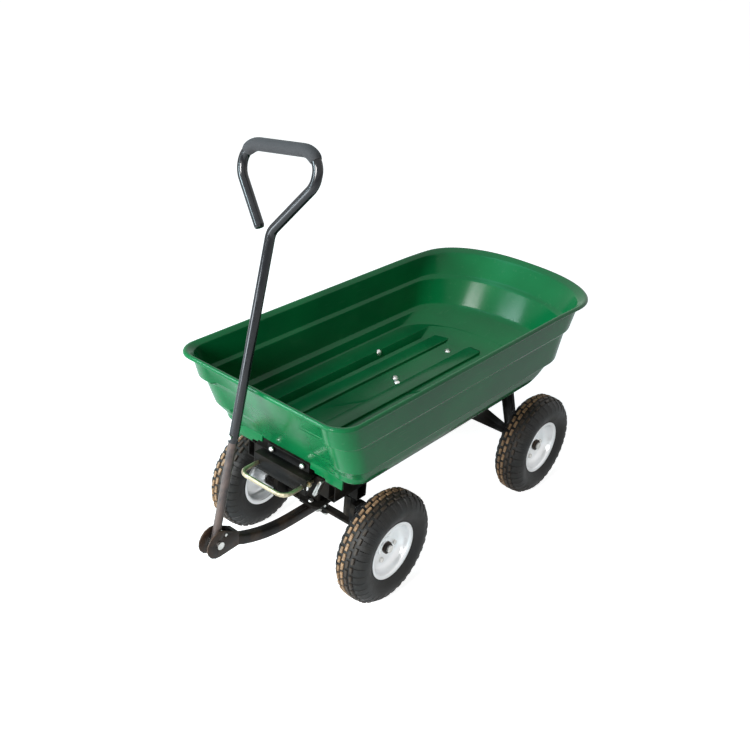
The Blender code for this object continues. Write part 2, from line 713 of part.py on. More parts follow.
def make_bail(zinc):
    """One bent wire that slides in the latch plate, with a collar on each leg."""
    z = bail_z()
    front = plate_face_y() - BAIL_REACH + BAIL_WIRE_RADIUS
    rear = RAIL_FRONT_Y - BAIL_END_GAP
    corners = [(-BAIL_HALF_WIDTH, front), (BAIL_HALF_WIDTH, front)]
    ends = [(-BAIL_HALF_WIDTH, rear), (BAIL_HALF_WIDTH, rear)]
    route = [Vector(ends[0])]
    route += rounded_corner(ends[0], corners[0], corners[1], BAIL_CORNER, 4)
    route += rounded_corner(corners[0], corners[1], ends[1], BAIL_CORNER, 4)
    route.append(Vector(ends[1]))
    path = [Vector((x, y, z)) for x, y in route]
    bail = swept_rod("latch_bail", path, Vector((0, 0, 1)), BAIL_WIRE_RADIUS, WIRE_SIDES, zinc)
    collar_front = plate_face_y() + PLATE_THICKNESS + BAIL_TRAVEL + SEAT
    for side in (-1, 1):
        profile = [(BAIL_COLLAR_RADIUS, collar_front),
                   (BAIL_COLLAR_RADIUS, collar_front + BAIL_COLLAR_WIDTH)]
        collar = turned("collar", profile, (side * BAIL_HALF_WIDTH, z), "Y", WIRE_SIDES, zinc)
        combine(bail, collar, "UNION")
    return bail


def make_latch_bolts(zinc):
    """Two bolts through the latch plate's flange into the front bar."""
    face = FLOOR_FRONT_Y - SEAT - PLATE_THICKNESS
    names = {-1: "latch_bolt_left", 1: "latch_bolt_right"}
    return [bolt(names[side], (side * LATCH_BOLT_SPACING / 2, latch_bolt_z()), "Y", face, LATCH_BOLT_GRIP,
                 0.010, 0.005, LATCH_BOLT_RADIUS, zinc) for side in (-1, 1)]


# Chassis

def chamfered(a0, b0, a1, b1, cut):
    """A rectangle with its corners cut off."""
    return [(a0 + cut, b0), (a1 - cut, b0), (a1, b0 + cut), (a1, b1 - cut),
            (a1 - cut, b1), (a0 + cut, b1), (a0, b1 - cut), (a0, b0 + cut)]


def square_tube(name, a0, b0, a1, b1, axis, low, high, finish):
    """A rectangular tube with rounded edges."""
    outer = chamfered(a0, b0, a1, b1, TUBE_WALL * 0.8)
    inner = chamfered(a0 + TUBE_WALL, b0 + TUBE_WALL, a1 - TUBE_WALL, b1 - TUBE_WALL, TUBE_WALL * 0.3)
    return hollow_bar(name, outer, inner, axis, low, high, finish)


def make_rail(side, steel):
    """A side rail."""
    name = "side_rail_right" if side > 0 else "side_rail_left"
    xs = sorted((side * RAIL_INSIDE_X, side * RAIL_OUTSIDE_X))
    return square_tube(name, xs[0], RAIL_BOTTOM, xs[1], RAIL_TOP, "Y", RAIL_FRONT_Y,
                       HINGE_Y + RAIL_OVERHANG, steel)


def make_front_beam(steel):
    """The beam across the front, bored for both kingpins."""
    reach = KINGPIN_X + BEAM_OVERHANG
    beam = square_tube("front_beam", -BEAM_DEPTH / 2, BEAM_BOTTOM, BEAM_DEPTH / 2, BEAM_TOP, "X",
                       -reach, reach, steel)
    for side in (-1, 1):
        bore(beam, (side * KINGPIN_X, 0), "Z", BEAM_BOTTOM - 0.01, BEAM_TOP + 0.01, KINGPIN_RADIUS, steel)
    return beam


def make_pivot_block(steel):
    """The post under the beam that the tongue turns on."""
    half = PIVOT_BLOCK_WIDTH / 2
    block = prism("pivot_block", chamfered(-half, -half, half, half, 0.003), "Z", BLOCK_BOTTOM,
                  BEAM_BOTTOM - SEAT, steel)
    top = BLOCK_BOTTOM + PIVOT_BOLT_GRIP
    bore(block, (0, 0), "Z", BLOCK_BOTTOM - 0.01, top, PIVOT_BOLT_RADIUS, steel)
    return block


def make_pivot_bolt(zinc):
    """The bolt that the tongue swings on, put in from below."""
    grip = BLOCK_BOTTOM - TONGUE_BOTTOM + PIVOT_BOLT_GRIP - 0.002
    return bolt("tongue_pivot_bolt", (0, 0), "Z", TONGUE_BOTTOM, grip, 0.019, 0.007, PIVOT_BOLT_RADIUS, zinc)


def make_cross_member(steel):
    """The tube between the rails' front ends, which the tub's frame rests on."""
    reach = RAIL_INSIDE_X - SEAT
    return square_tube("latch_cross_member", RAIL_FRONT_Y, RAIL_BOTTOM,
                       RAIL_FRONT_Y + CROSS_MEMBER_DEPTH, RAIL_TOP, "X", -reach, reach, steel)


def leg_outline():
    """The upright plate from the axle to the hinge, round at both ends."""
    foot = Vector((WHEELBASE, AXLE_Z))
    head = Vector((HINGE_Y, HINGE_Z))
    lean = degrees(atan2(head.y - foot.y, head.x - foot.x))
    up = (head - foot).normalized()
    across = Vector((-up.y, up.x))
    points = arc(foot.x, foot.y, LEG_FOOT_RADIUS, lean + 90, lean + 270, 6)
    shoulder = head - up * (LEG_TOP_RADIUS * 1.3)
    points.append(tuple(shoulder - across * LEG_WIDTH / 2))
    points += arc(head.x, head.y, LEG_TOP_RADIUS, lean - 80, lean + 80, 5)
    points.append(tuple(shoulder + across * LEG_WIDTH / 2))
    return points


def brace_outline():
    """The tapered brace from the foot of the leg forward to the rail."""
    foot = Vector((WHEELBASE - BRACE_FOOT_SHIFT, AXLE_Z + BRACE_FOOT_RISE))
    head_z = RAIL_BOTTOM + RAIL_HEIGHT * 0.75
    head = Vector((WHEELBASE - BRACE_REACH, head_z))
    way = (head - foot).normalized()
    across = Vector((-way.y, way.x))
    root = foot - way * 0.020
    half_foot = BRACE_FOOT_WIDTH / 2
    half_head = BRACE_HEAD_WIDTH / 2
    low_head = head + across * half_head
    high_head = head - across * half_head
    slope = (low_head - foot - across * half_foot).normalized()
    return [tuple(root - across * half_foot), tuple(root + across * half_foot),
            tuple(low_head + slope * 0.001), (low_head.x + 0.008, head_z + 0.004),
            (high_head.x - 0.012, head_z + 0.004), tuple(high_head - way * 0.012)]


def make_leg(side, steel):
    """A rear leg plate with its brace, bored for the axle and the hinge."""
    name = "rear_leg_right" if side > 0 else "rear_leg_left"
    xs = sorted((side * LEG_INSIDE_X, side * LEG_OUTSIDE_X))
    leg = prism(name, leg_outline(), "X", xs[0], xs[1], steel)
    brace = prism("brace", brace_outline(), "X", xs[0], xs[1], steel)
    combine(leg, brace, "UNION")
    bore(leg, (WHEELBASE, AXLE_Z), "X", xs[0] - 0.01, xs[1] + 0.01, AXLE_RADIUS, steel)
    bore(leg, (HINGE_Y, HINGE_Z), "X", xs[0] - 0.01, xs[1] + 0.01, HINGE_BOLT_RADIUS, steel)
    return leg


def make_rear_axle(steel):
    """The rod through both legs, with a collar outside each."""
    near = LEG_OUTSIDE_X + SEAT
    far = near + COLLAR_LENGTH
    half = [(COLLAR_RADIUS, near), (COLLAR_RADIUS, far), (AXLE_RADIUS, far), (AXLE_RADIUS, AXLE_END_X)]
    right = [(AXLE_RADIUS, near)] + half
    left = [(radius, -x) for radius, x in reversed(right)]
    return turned("rear_axle", left + right, (WHEELBASE, AXLE_Z), "X", 12, steel)


def make_hinge_bolt(side, zinc):
    """A bolt through the leg plate into the hinge tube."""
    name = "hinge_bolt_right" if side > 0 else "hinge_bolt_left"
    return bolt(name, (HINGE_Y, HINGE_Z), "X", side * LEG_OUTSIDE_X, -side * HINGE_BOLT_GRIP, 0.013, 0.0055,
                HINGE_BOLT_RADIUS, zinc)


# Wheels

def tyre_profile():
    """Half of the tyre's outer section, then half of its inside: (radius, reach from the middle)."""
    crown = TYRE_RADIUS - TREAD_DEPTH
    bead = RIM_SEAT_RADIUS / cos(pi / TYRE_SIDES) + 2 * FIT
    bead_face = RIM_FACE - FIT
    wide = TYRE_WIDTH / 2
    middle = (crown + RIM_RADIUS) / 2
    over_flange = RIM_RADIUS / cos(pi / TYRE_SIDES) + FIT
    outer = [(bead, bead_face), (over_flange, bead_face), (RIM_RADIUS + 0.014, wide * 0.93),
             (middle + 0.004, wide), (crown - SHOULDER_DROP, wide * 0.8), (crown, TREAD_WIDTH / 2)]
    inner = [(crown - TYRE_WALL, TREAD_WIDTH / 2), (middle, wide - TYRE_WALL),
             (bead, bead_face - BEAD_WIDTH)]
    return outer, inner


def make_tyre(name, middle, rubber):
    """A tyre, open inside towards the rim, with staggered tread blocks."""
    outer, inner = tyre_profile()
    left = [(radius, -reach) for radius, reach in reversed(outer)]
    inside = [(radius, -reach) for radius, reach in reversed(inner)] + inner
    profile = outer + left + inside
    y, z = middle[1], middle[2]
    shape = bmesh.new()
    rings = [[ALONG["X"](a, b, middle[0] + u) for a, b in circle(y, z, r, TYRE_SIDES)] for r, u in profile]
    skin_rings(shape, rings, closed=True)
    bmesh.ops.recalc_face_normals(shape, faces=shape.faces)
    raise_tread(shape, Vector(middle))
    return add_object(name, shape, rubber)


def raise_tread(shape, middle):
    """Raises every other block of the crown, and the shoulders' blocks in between."""
    crown = TYRE_RADIUS - TREAD_DEPTH
    shoulder = crown - SHOULDER_DROP
    blocks = []
    for face in shape.faces:
        centre = face.calc_center_median() - middle
        radius = Vector((centre.y, centre.z)).length
        step = int((atan2(centre.z, centre.y) + 2 * pi) / (2 * pi / TYRE_SIDES))
        on_crown = radius > crown * 0.985 and abs(centre.x) < TREAD_WIDTH / 4
        on_shoulder = shoulder < radius < crown and TREAD_WIDTH / 2 < abs(centre.x)
        if (on_crown and step % 2 == 1) or (on_shoulder and step % 2 == 0):
            blocks.append(face)
    bmesh.ops.inset_individual(shape, faces=blocks, thickness=TREAD_SLOPE, use_even_offset=True)
    for face in blocks:
        on_crown = abs(face.calc_center_median().x - middle.x) < TREAD_WIDTH / 4
        normal = face.normal.copy()
        for vert in face.verts:
            spoke = Vector((0, vert.co.y - middle.y, vert.co.z - middle.z))
            if on_crown:
                vert.co += spoke.normalized() * (TYRE_RADIUS - spoke.length)
            else:
                vert.co += normal * TREAD_DEPTH * 0.7


def rim_profile(disc):
    """One pressed rim half: flange, barrel, dish and disc, with its outer face at a reach."""
    sheet = RIM_SHEET
    back = disc
    front = disc + sheet
    hub_bore = bore_radius(HUB_RADIUS, 12)
    return [(RIM_RADIUS, RIM_FACE + sheet), (RIM_SEAT_RADIUS - sheet / 4, RIM_FACE + sheet),
            (DISH_RADIUS, front), (hub_bore, front), (hub_bore, back), (DISH_RADIUS + sheet, back),
            (RIM_SEAT_RADIUS, RIM_FACE), (RIM_RADIUS, RIM_FACE)]


def make_rims(name, side, middle, white):
    """Both rim halves of a wheel, bolted together at their discs."""
    centre = (middle[1], middle[2])
    out = [(radius, middle[0] + side * reach) for radius, reach in rim_profile(DISC_U)]
    inner_disc = -(DISC_U - SEAT)
    inside = [(radius, middle[0] - side * reach) for radius, reach in rim_profile(inner_disc)]
    return [turned("rim_outer_" + name, out, centre, "X", RIM_SIDES, white, closed=True),
            turned("rim_inner_" + name, inside, centre, "X", RIM_SIDES, white, closed=True)]


def make_hub(name, side, middle, zinc):
    """The hub with a flange in front of the outer disc."""
    front = DISC_U + RIM_SHEET + SEAT
    hole = bore_radius(AXLE_RADIUS, 12)
    profile = [(hole, -HUB_INNER_REACH), (HUB_RADIUS, -HUB_INNER_REACH), (HUB_RADIUS, front),
               (HUB_FLANGE_RADIUS, front), (HUB_FLANGE_RADIUS, front + RIM_SHEET),
               (HUB_RADIUS * 0.9, front + RIM_SHEET), (HUB_RADIUS * 0.9, HUB_OUTER_REACH),
               (hole, HUB_OUTER_REACH)]
    placed = [(radius, middle[0] + side * reach) for radius, reach in profile]
    return turned("hub_" + name, placed, (middle[1], middle[2]), "X", 12, zinc, closed=True)


def make_wheel(name, side, y, finishes):
    """A whole wheel on its own pivot."""
    middle = (side * WHEEL_X, y, AXLE_Z)
    pieces = [make_tyre("tyre_" + name, middle, finishes["rubber"])]
    pieces += make_rims(name, side, middle, finishes["white"])
    pieces.append(make_hub(name, side, middle, finishes["zinc"]))
    return middle, pieces


def make_axle_nut(name, side, y, zinc):
    """The nut that keeps a wheel on its axle."""
    xs = sorted((side * NUT_X, side * (NUT_X + AXLE_NUT_HEIGHT)))
    return nut(name, (y, AXLE_Z), "X", xs[0], xs[1], AXLE_NUT_ACROSS, AXLE_RADIUS, zinc)


# Steering

def arm_levels(side):
    """Bottom and top of a steering arm: the right one is under its rod, the left one over it."""
    rod_low, rod_high = rod_levels(side)
    if side > 0:
        return rod_low - SEAT - ARM_THICKNESS, rod_low - SEAT
    return rod_high + SEAT, rod_high + SEAT + ARM_THICKNESS


def rod_levels(side):
    """Bottom and top of a tie rod. The left rod lies under the right one."""
    top = TONGUE_BOTTOM - ROD_BELOW_TONGUE - (0 if side > 0 else ROD_STEP)
    return top - ROD_THICKNESS, top


def make_knuckle(side, steel):
    """A stub axle: kingpin, boss, plate, spindle and steering arm in one."""
    name = "knuckle_right" if side > 0 else "knuckle_left"
    x = side * KINGPIN_X
    top = BEAM_BOTTOM - SEAT
    boss = turned(name, [(KNUCKLE_RADIUS, top - KNUCKLE_HEIGHT), (KNUCKLE_RADIUS, top)], (x, 0), "Z", 12, steel)
    pin_top = BEAM_TOP + SEAT + KINGPIN_NUT_HEIGHT + 0.003
    pin = turned("kingpin", [(KINGPIN_RADIUS, top - 0.02), (KINGPIN_RADIUS, pin_top)], (x, 0), "Z", 12, steel)
    near = KINGPIN_X + KNUCKLE_PLATE_OFFSET
    far = near + KNUCKLE_PLATE_THICKNESS
    xs = sorted((side * near, side * far))
    arm_low, arm_high = arm_levels(side)
    foot = min(AXLE_Z - COLLAR_RADIUS - 0.012, arm_low)
    half = KNUCKLE_PLATE_DEPTH / 2
    plate = prism("plate", chamfered(-half, foot, half, top - KNUCKLE_HEIGHT * 0.3, 0.006), "X",
                  xs[0], xs[1], steel)
    collar_end = HUB_INSIDE_X - SEAT
    steps = [(COLLAR_RADIUS, side * (near + 0.004)), (COLLAR_RADIUS, side * collar_end),
             (AXLE_RADIUS, side * collar_end), (AXLE_RADIUS, side * AXLE_END_X)]
    spindle = turned("spindle", steps, (0, AXLE_Z), "X", 12, steel)
    y = TIE_BOLT_REACH
    outline = [(x, y - ARM_EYE_RADIUS), (side * far, half - 0.008), (side * far, half + 0.004),
               (x + side * 0.006, y + ARM_EYE_RADIUS), (x - side * 0.004, y + ARM_EYE_RADIUS),
               (x - side * ARM_EYE_RADIUS, y + 0.003), (x - side * ARM_EYE_RADIUS, y - 0.003)]
    arm = prism("arm", outline, "Z", arm_low, arm_high, steel)
    low, high = rod_levels(side)
    ends = (arm_high - 0.002, high + 0.003) if side > 0 else (low - 0.003, arm_low + 0.002)
    joint = turned("arm_pin", [(TIE_BOLT_RADIUS, ends[0]), (TIE_BOLT_RADIUS, ends[1])], (x, y), "Z", 8, steel)
    for part in (pin, plate, spindle, arm, joint):
        combine(boss, part, "UNION")
    return boss


def make_kingpin_nut(side, zinc):
    """The nut on top of the beam."""
    name = "kingpin_nut_right" if side > 0 else "kingpin_nut_left"
    low = BEAM_TOP + SEAT
    return nut(name, (side * KINGPIN_X, 0), "Z", low, low + KINGPIN_NUT_HEIGHT, KINGPIN_NUT_ACROSS,
               KINGPIN_RADIUS, zinc)


def make_tie_rod(side, steel):
    """A flat rod from the tongue's tie bolt to a steering arm."""
    name = "tie_rod_right" if side > 0 else "tie_rod_left"
    low, high = rod_levels(side)
    y = TIE_BOLT_REACH
    half = ROD_WIDTH / 2
    if side > 0:
        outline = arc(0, y, half, 90, 270, 6) + arc(KINGPIN_X, y, half, -90, 90, 6)
    else:
        outline = arc(-KINGPIN_X, y, half, 90, 270, 6) + arc(0, y, half, -90, 90, 6)
    rod = prism(name, outline, "Z", low, high, steel)
    for x in (0, side * KINGPIN_X):
        bore(rod, (x, y), "Z", low - 0.01, high + 0.01, TIE_BOLT_RADIUS, steel, 8)
    return rod


def make_tie_bolt(zinc):
    """The bolt that both tie rods hang on, behind the tongue's pivot."""
    head_low = STEER_PLATE_TOP + SEAT
    rod_top = rod_levels(1)[1] + SEAT
    rod_bottom = rod_levels(-1)[0] - SEAT
    spacer = TIE_BOLT_RADIUS * 1.75
    steps = [(spacer, head_low + 0.005), (spacer, head_low), (TIE_BOLT_RADIUS, head_low),
             (TIE_BOLT_RADIUS, TONGUE_BOTTOM - SEAT), (spacer, TONGUE_BOTTOM - SEAT), (spacer, rod_top),
             (TIE_BOLT_RADIUS, rod_top), (TIE_BOLT_RADIUS, rod_bottom), (spacer, rod_bottom),
             (spacer, rod_bottom - 0.006)]
    return turned("tie_bolt", steps, (0, TIE_BOLT_REACH), "Z", 8, zinc)


# Tongue

def tongue_path():
    """The tongue's middle line: straight over the pivot, then an arc up to the clevis."""
    run = -CLEVIS_REAR_Y - TONGUE_STRAIGHT - SEAT
    radius = (run ** 2 + TONGUE_RISE ** 2) / (2 * TONGUE_RISE)
    turn = degrees(asin(run / radius))
    steps = 7
    curve = arc(-TONGUE_STRAIGHT, TONGUE_Z + radius, radius, -90, -90 - turn, steps)
    return [Vector((0, TONGUE_TAIL, TONGUE_Z))] + [Vector((0, y, z)) for y, z in curve]


def make_tongue(steel):
    """The curved bar that pulls and steers the cart."""
    path = tongue_path()
    rings = []
    for i, point in enumerate(path):
        way = (path[min(i + 1, len(path) - 1)] - path[max(i - 1, 0)]).normalized()
        if i == len(path) - 1:
            way = Vector((0, -1, 0))
        up = way.cross(Vector((-1, 0, 0)))
        section = chamfered(-TONGUE_WIDTH / 2, -TONGUE_HEIGHT / 2, TONGUE_WIDTH / 2, TONGUE_HEIGHT / 2, 0.003)
        rings.append([point + Vector((a, 0, 0)) + up * b for a, b in section])
    tongue = loft("tongue_bar", rings, steel)
    bore(tongue, (0, 0), "Z", TONGUE_BOTTOM - 0.01, STEER_PLATE_TOP + 0.01, PIVOT_BOLT_RADIUS, steel)
    bore(tongue, (0, TIE_BOLT_REACH), "Z", TONGUE_BOTTOM - 0.01, STEER_PLATE_TOP + 0.01, TIE_BOLT_RADIUS,
         steel, 8)
    return tongue


def make_steering_plate(steel):
    """The plate on the tongue that bears against the pivot block."""
    half = STEER_PLATE_WIDTH / 2
    plate = prism("steering_plate", chamfered(-half, -STEER_PLATE_FRONT, half, TONGUE_TAIL, 0.010), "Z",
                  STEER_PLATE_BOTTOM, STEER_PLATE_TOP, steel)
    low, high = STEER_PLATE_BOTTOM - 0.01, STEER_PLATE_TOP + 0.01
    bore(plate, (0, 0), "Z", low, high, PIVOT_BOLT_RADIUS, steel)
    bore(plate, (0, TIE_BOLT_REACH), "Z", low, high, TIE_BOLT_RADIUS, steel, 8)
    return plate


def stop_pin_place():
    """The pin behind the handle that it leans on."""
    behind = LOWER_TUBE_RADIUS + SEAT + STOP_PIN_RADIUS
    place = HANDLE_PIVOT + HANDLE_AXIS * STOP_PIN_REACH + HANDLE_FACE * behind
    return place.y, place.z


def make_clevis(steel):
    """Two round-nosed cheeks at the foot of the handle, welded to the tongue's front end."""
    end_z = tongue_path()[-1].z
    rear_low = end_z - CLEVIS_REAR_DROP
    outline = arc(HANDLE_PIVOT_Y, HANDLE_PIVOT_Z, CLEVIS_NOSE_RADIUS, 75, 275, 9)
    outline += [(CLEVIS_REAR_Y, rear_low), (CLEVIS_REAR_Y, rear_low + CLEVIS_REAR_HEIGHT)]
    clevis = prism("clevis", outline, "X", -CLEVIS_HALF_WIDTH, CLEVIS_HALF_WIDTH, steel)
    half = CLEVIS_GAP / 2
    above = HANDLE_PIVOT_Z + CLEVIS_NOSE_RADIUS + 0.02
    slot = box("slot", (-half, CLEVIS_NOSE_Y - 0.02, rear_low - 0.05), (half, CLEVIS_SLOT_Y, above), steel)
    combine(clevis, slot, "DIFFERENCE")
    reach = CLEVIS_HALF_WIDTH + 0.01
    bore(clevis, (HANDLE_PIVOT_Y, HANDLE_PIVOT_Z), "X", -reach, reach, HANDLE_PIVOT_RADIUS, steel)
    bore(clevis, stop_pin_place(), "X", -reach, reach, STOP_PIN_RADIUS, steel, 8)
    return clevis


def make_handle_pivot_bolt(zinc):
    """The bolt that the handle folds about."""
    face = CLEVIS_HALF_WIDTH + SEAT
    head = HANDLE_PIVOT_RADIUS * 1.7
    steps = [(head, -face - 0.005), (head, -face), (HANDLE_PIVOT_RADIUS, -face), (HANDLE_PIVOT_RADIUS, face),
             (head, face), (head, face + 0.005)]
    return turned("handle_pivot_bolt", steps, (HANDLE_PIVOT_Y, HANDLE_PIVOT_Z), "X", 12, zinc)


def make_stop_pin(zinc):
    """The pin that stops the handle from falling back."""
    reach = CLEVIS_HALF_WIDTH + 0.002
    steps = [(STOP_PIN_RADIUS, -reach), (STOP_PIN_RADIUS, reach)]
    return turned("handle_stop_pin", steps, stop_pin_place(), "X", 8, zinc)


# Handle

def on_handle(x, along):
    """A point in the plane of the handle."""
    return HANDLE_PIVOT + Vector((x, 0, 0)) + HANDLE_AXIS * along


def loop_corners():
    """The corners of the handle's loop, from the shaft's bend to the free end."""
    flat = [(0, 0), LOOP_SHOULDER, LOOP_RIGHT, LOOP_LEFT, LOOP_RETURN, LOOP_END]
    return [(x, HANDLE_BEND_REACH + rise) for x, rise in flat]


def handle_route():
    """The upper tube's middle line, in the handle's plane."""
    start = (0, JOINT_BOLT_REACH - JOINT_OVERLAP)
    corners = loop_corners()
    radii = (BEND_RADIUS, SHOULDER_RADIUS, BEND_RADIUS, LOOP_LEFT_RADIUS, SHOULDER_RADIUS)
    route = [Vector(start)]
    stops = [start] + corners
    for i, radius in enumerate(radii):
        route += rounded_corner(stops[i], stops[i + 1], stops[i + 2], radius, BEND_STEPS)
    route.append(Vector(corners[-1]))
    return route


def make_lower_tube(steel):
    """The lower tube of the handle with its pivot bush."""
    top = JOINT_BOLT_REACH + JOINT_OVERLAP
    inner = LOWER_TUBE_RADIUS - HANDLE_TUBE_WALL
    tube = swept_tube("handle_lower_tube", [on_handle(0, 0), on_handle(0, top)], HANDLE_FACE,
                      LOWER_TUBE_RADIUS, inner, steel)
    half = CLEVIS_GAP / 2 - SEAT
    bush = turned("bush", [(BUSH_RADIUS, -half), (BUSH_RADIUS, half)], (HANDLE_PIVOT_Y, HANDLE_PIVOT_Z), "X",
                  12, steel)
    combine(tube, bush, "UNION")
    bore(tube, (HANDLE_PIVOT_Y, HANDLE_PIVOT_Z), "X", -half - 0.01, half + 0.01, HANDLE_PIVOT_RADIUS, steel)
    joint_bore(tube, steel)
    return tube


def make_upper_tube(steel):
    """The upper tube, bent into an open loop at the top."""
    path = [on_handle(x, along) for x, along in handle_route()]
    inner = LOWER_TUBE_RADIUS + FIT
    tube = swept_tube("handle_upper_tube", path, HANDLE_FACE, UPPER_TUBE_RADIUS, inner, steel)
    joint_bore(tube, steel)
    return tube


def joint_bore(tube, finish):
    """The joint bolt's hole, from the handle's front to its back."""
    reach = 2 * UPPER_TUBE_RADIUS
    centre = on_handle(0, JOINT_BOLT_REACH)
    sides = 8
    rings = [square_ring(centre + HANDLE_FACE * h, bore_radius(JOINT_BOLT_RADIUS, sides), sides)
             for h in (-reach, reach)]
    combine(tube, loft(tube.name + "_bore", rings, finish), "DIFFERENCE")


def square_ring(centre, radius, sides):
    """A ring round an axis that runs through the handle from front to back."""
    turns = [2 * pi * k / sides for k in range(sides)]
    return [centre + radius * (cos(t) * Vector((1, 0, 0)) + sin(t) * HANDLE_AXIS) for t in turns]


def make_joint_bolt(zinc):
    """The bolt through both tubes, with its head in front and its nut behind."""
    centre = on_handle(0, JOINT_BOLT_REACH)
    face = UPPER_TUBE_RADIUS + SEAT
    head = JOINT_BOLT_RADIUS * 1.8
    steps = [(head, -face - 0.004), (head, -face), (JOINT_BOLT_RADIUS, -face), (JOINT_BOLT_RADIUS, face),
             (head, face), (head, face + 0.004)]
    rings = [square_ring(centre + HANDLE_FACE * h, radius, 8) for radius, h in steps]
    return loft("handle_joint_bolt", rings, zinc)


def make_grip(foam):
    """The foam grip over the top of the loop, from one corner's middle to the other's."""
    path = [on_handle(x, along) for x, along in handle_route()]
    first = 1 + 2 * (BEND_STEPS + 1) + BEND_STEPS // 2
    last = first + BEND_STEPS + 1
    return swept_tube("foam_grip", path, HANDLE_FACE, GRIP_RADIUS, UPPER_TUBE_RADIUS + FIT, foam,
                      slice(first, last + 1))


def make_end_plug(plastic):
    """The plug in the loop's free end."""
    corners = loop_corners()
    end = Vector(corners[-1])
    way = (end - Vector(corners[-2])).normalized()
    hole = LOWER_TUBE_RADIUS - FIT
    marks = [(-END_PLUG_DEPTH, hole), (SEAT, hole), (SEAT, UPPER_TUBE_RADIUS),
             (END_PLUG_HEAD, UPPER_TUBE_RADIUS * 0.85)]
    across = Vector((way.y, -way.x))
    rings = []
    for along, radius in marks:
        centre = end + way * along
        turns = [2 * pi * (k + 0.5) / TUBE_SIDES for k in range(TUBE_SIDES)]
        ring = []
        for t in turns:
            flat = centre + across * radius * sin(t)
            ring.append(on_handle(flat.x, flat.y) + HANDLE_FACE * radius * cos(t))
        rings.append(ring)
    return loft("handle_end_plug", rings, plastic)


def make_finishes():
    """The colours of the real cart."""
    return {
        "green": material("tub_green", (0.02, 0.20, 0.09), 0.35),
        "black": material("chassis_black", (0.012, 0.012, 0.013), 0.45),
        "gloss": material("handle_black", (0.008, 0.009, 0.012), 0.2),
        "rubber": material("tyre_rubber", (0.035, 0.030, 0.026), 0.85),
        "white": material("rim_white", (0.82, 0.83, 0.84), 0.35),
        "zinc": material("zinc_plate", (0.62, 0.60, 0.55), 0.35, 1.0),
        "yellow": material("bail_zinc", (0.70, 0.62, 0.42), 0.4, 1.0),
        "foam": material("grip_foam", (0.03, 0.03, 0.035), 0.9),
    }


def build_chassis(cart, finishes):
    """Everything that stays on the ground."""
    black = finishes["black"]
    zinc = finishes["zinc"]
    pieces = [make_front_beam(black), make_pivot_block(black), make_pivot_bolt(zinc),
              make_cross_member(black), make_rear_axle(zinc)]
    for side in (-1, 1):
        hand = "right" if side > 0 else "left"
        pieces += [make_rail(side, black), make_leg(side, black), make_hinge_bolt(side, zinc),
                   make_axle_nut("rear_axle_nut_" + hand, side, WHEELBASE, zinc)]
    carry(cart, *pieces)


def build_tub(cart, finishes):
    """The tipping tub with its frame, latch plate and bail."""
    tilt = empty("tub_tilt", (0, HINGE_Y, HINGE_Z), cart)
    pieces = [make_tub(finishes["green"]), make_tub_frame(finishes["black"]),
              make_latch_plate(finishes["black"])]
    pieces += make_floor_bolts(finishes["zinc"]) + make_latch_bolts(finishes["zinc"])
    carry(tilt, *pieces)
    slide = empty("bail_slide", (0, plate_face_y(), bail_z()), tilt)
    carry(slide, make_bail(finishes["yellow"]))


def build_tongue(cart, finishes):
    """The tongue with its clevis, and the tie rods and handle that it carries."""
    black = finishes["black"]
    zinc = finishes["zinc"]
    swing = empty("tongue_swing", (0, 0, TONGUE_Z), cart)
    carry(swing, make_tongue(black), make_steering_plate(black), make_tie_bolt(zinc), make_clevis(black),
          make_handle_pivot_bolt(zinc), make_stop_pin(zinc))
    for side in (-1, 1):
        hand = "right" if side > 0 else "left"
        pivot = empty("tie_rod_pivot_" + hand, (0, TIE_BOLT_REACH, rod_levels(side)[0]), swing)
        carry(pivot, make_tie_rod(side, black))
    fold = empty("handle_fold", HANDLE_PIVOT, swing)
    carry(fold, make_lower_tube(black), make_upper_tube(finishes["gloss"]), make_joint_bolt(zinc),
          make_grip(finishes["foam"]), make_end_plug(finishes["gloss"]))


def build_wheels(cart, finishes):
    """The steering knuckles and all four wheels."""
    for side in (-1, 1):
        hand = "right" if side > 0 else "left"
        steer = empty("steer_" + hand, (side * KINGPIN_X, 0, AXLE_Z), cart)
        carry(steer, make_knuckle(side, finishes["black"]), make_kingpin_nut(side, finishes["zinc"]),
              make_axle_nut("spindle_nut_" + hand, side, 0, finishes["zinc"]))
        for name, parent, y in (("front_" + hand, steer, 0), ("rear_" + hand, cart, WHEELBASE)):
            middle, pieces = make_wheel(name, side, y, finishes)
            spin = empty("spin_" + name, middle, parent)
            carry(spin, *pieces)


def main():
    """Clears the scene and builds the cart over the origin."""
    for old in list(bpy.data.objects):
        bpy.data.objects.remove(old, do_unlink=True)
    finishes = make_finishes()
    cart = empty("garden_dump_cart", (0, 0, 0), None)
    build_chassis(cart, finishes)
    build_tub(cart, finishes)
    build_tongue(cart, finishes)
    build_wheels(cart, finishes)
    cart.location.y = -(CLEVIS_NOSE_Y + RIM_REAR_Y) / 2


main()
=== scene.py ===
# %% [markdown]
# # A four-wheel garden dump cart
# A moulded poly tub tips back on a painted steel chassis. Two front wheels steer through rods from
# the tongue, and a long steel handle with an open loop folds down in a clevis.
# The packed CAD model gives every place and size, and this file dresses it.

# %% Load the packed model
import json
from math import atan2, copysign, cos, pi, radians, sin, sqrt, tan

import bmesh
import bpy
from mathutils import Matrix, Vector


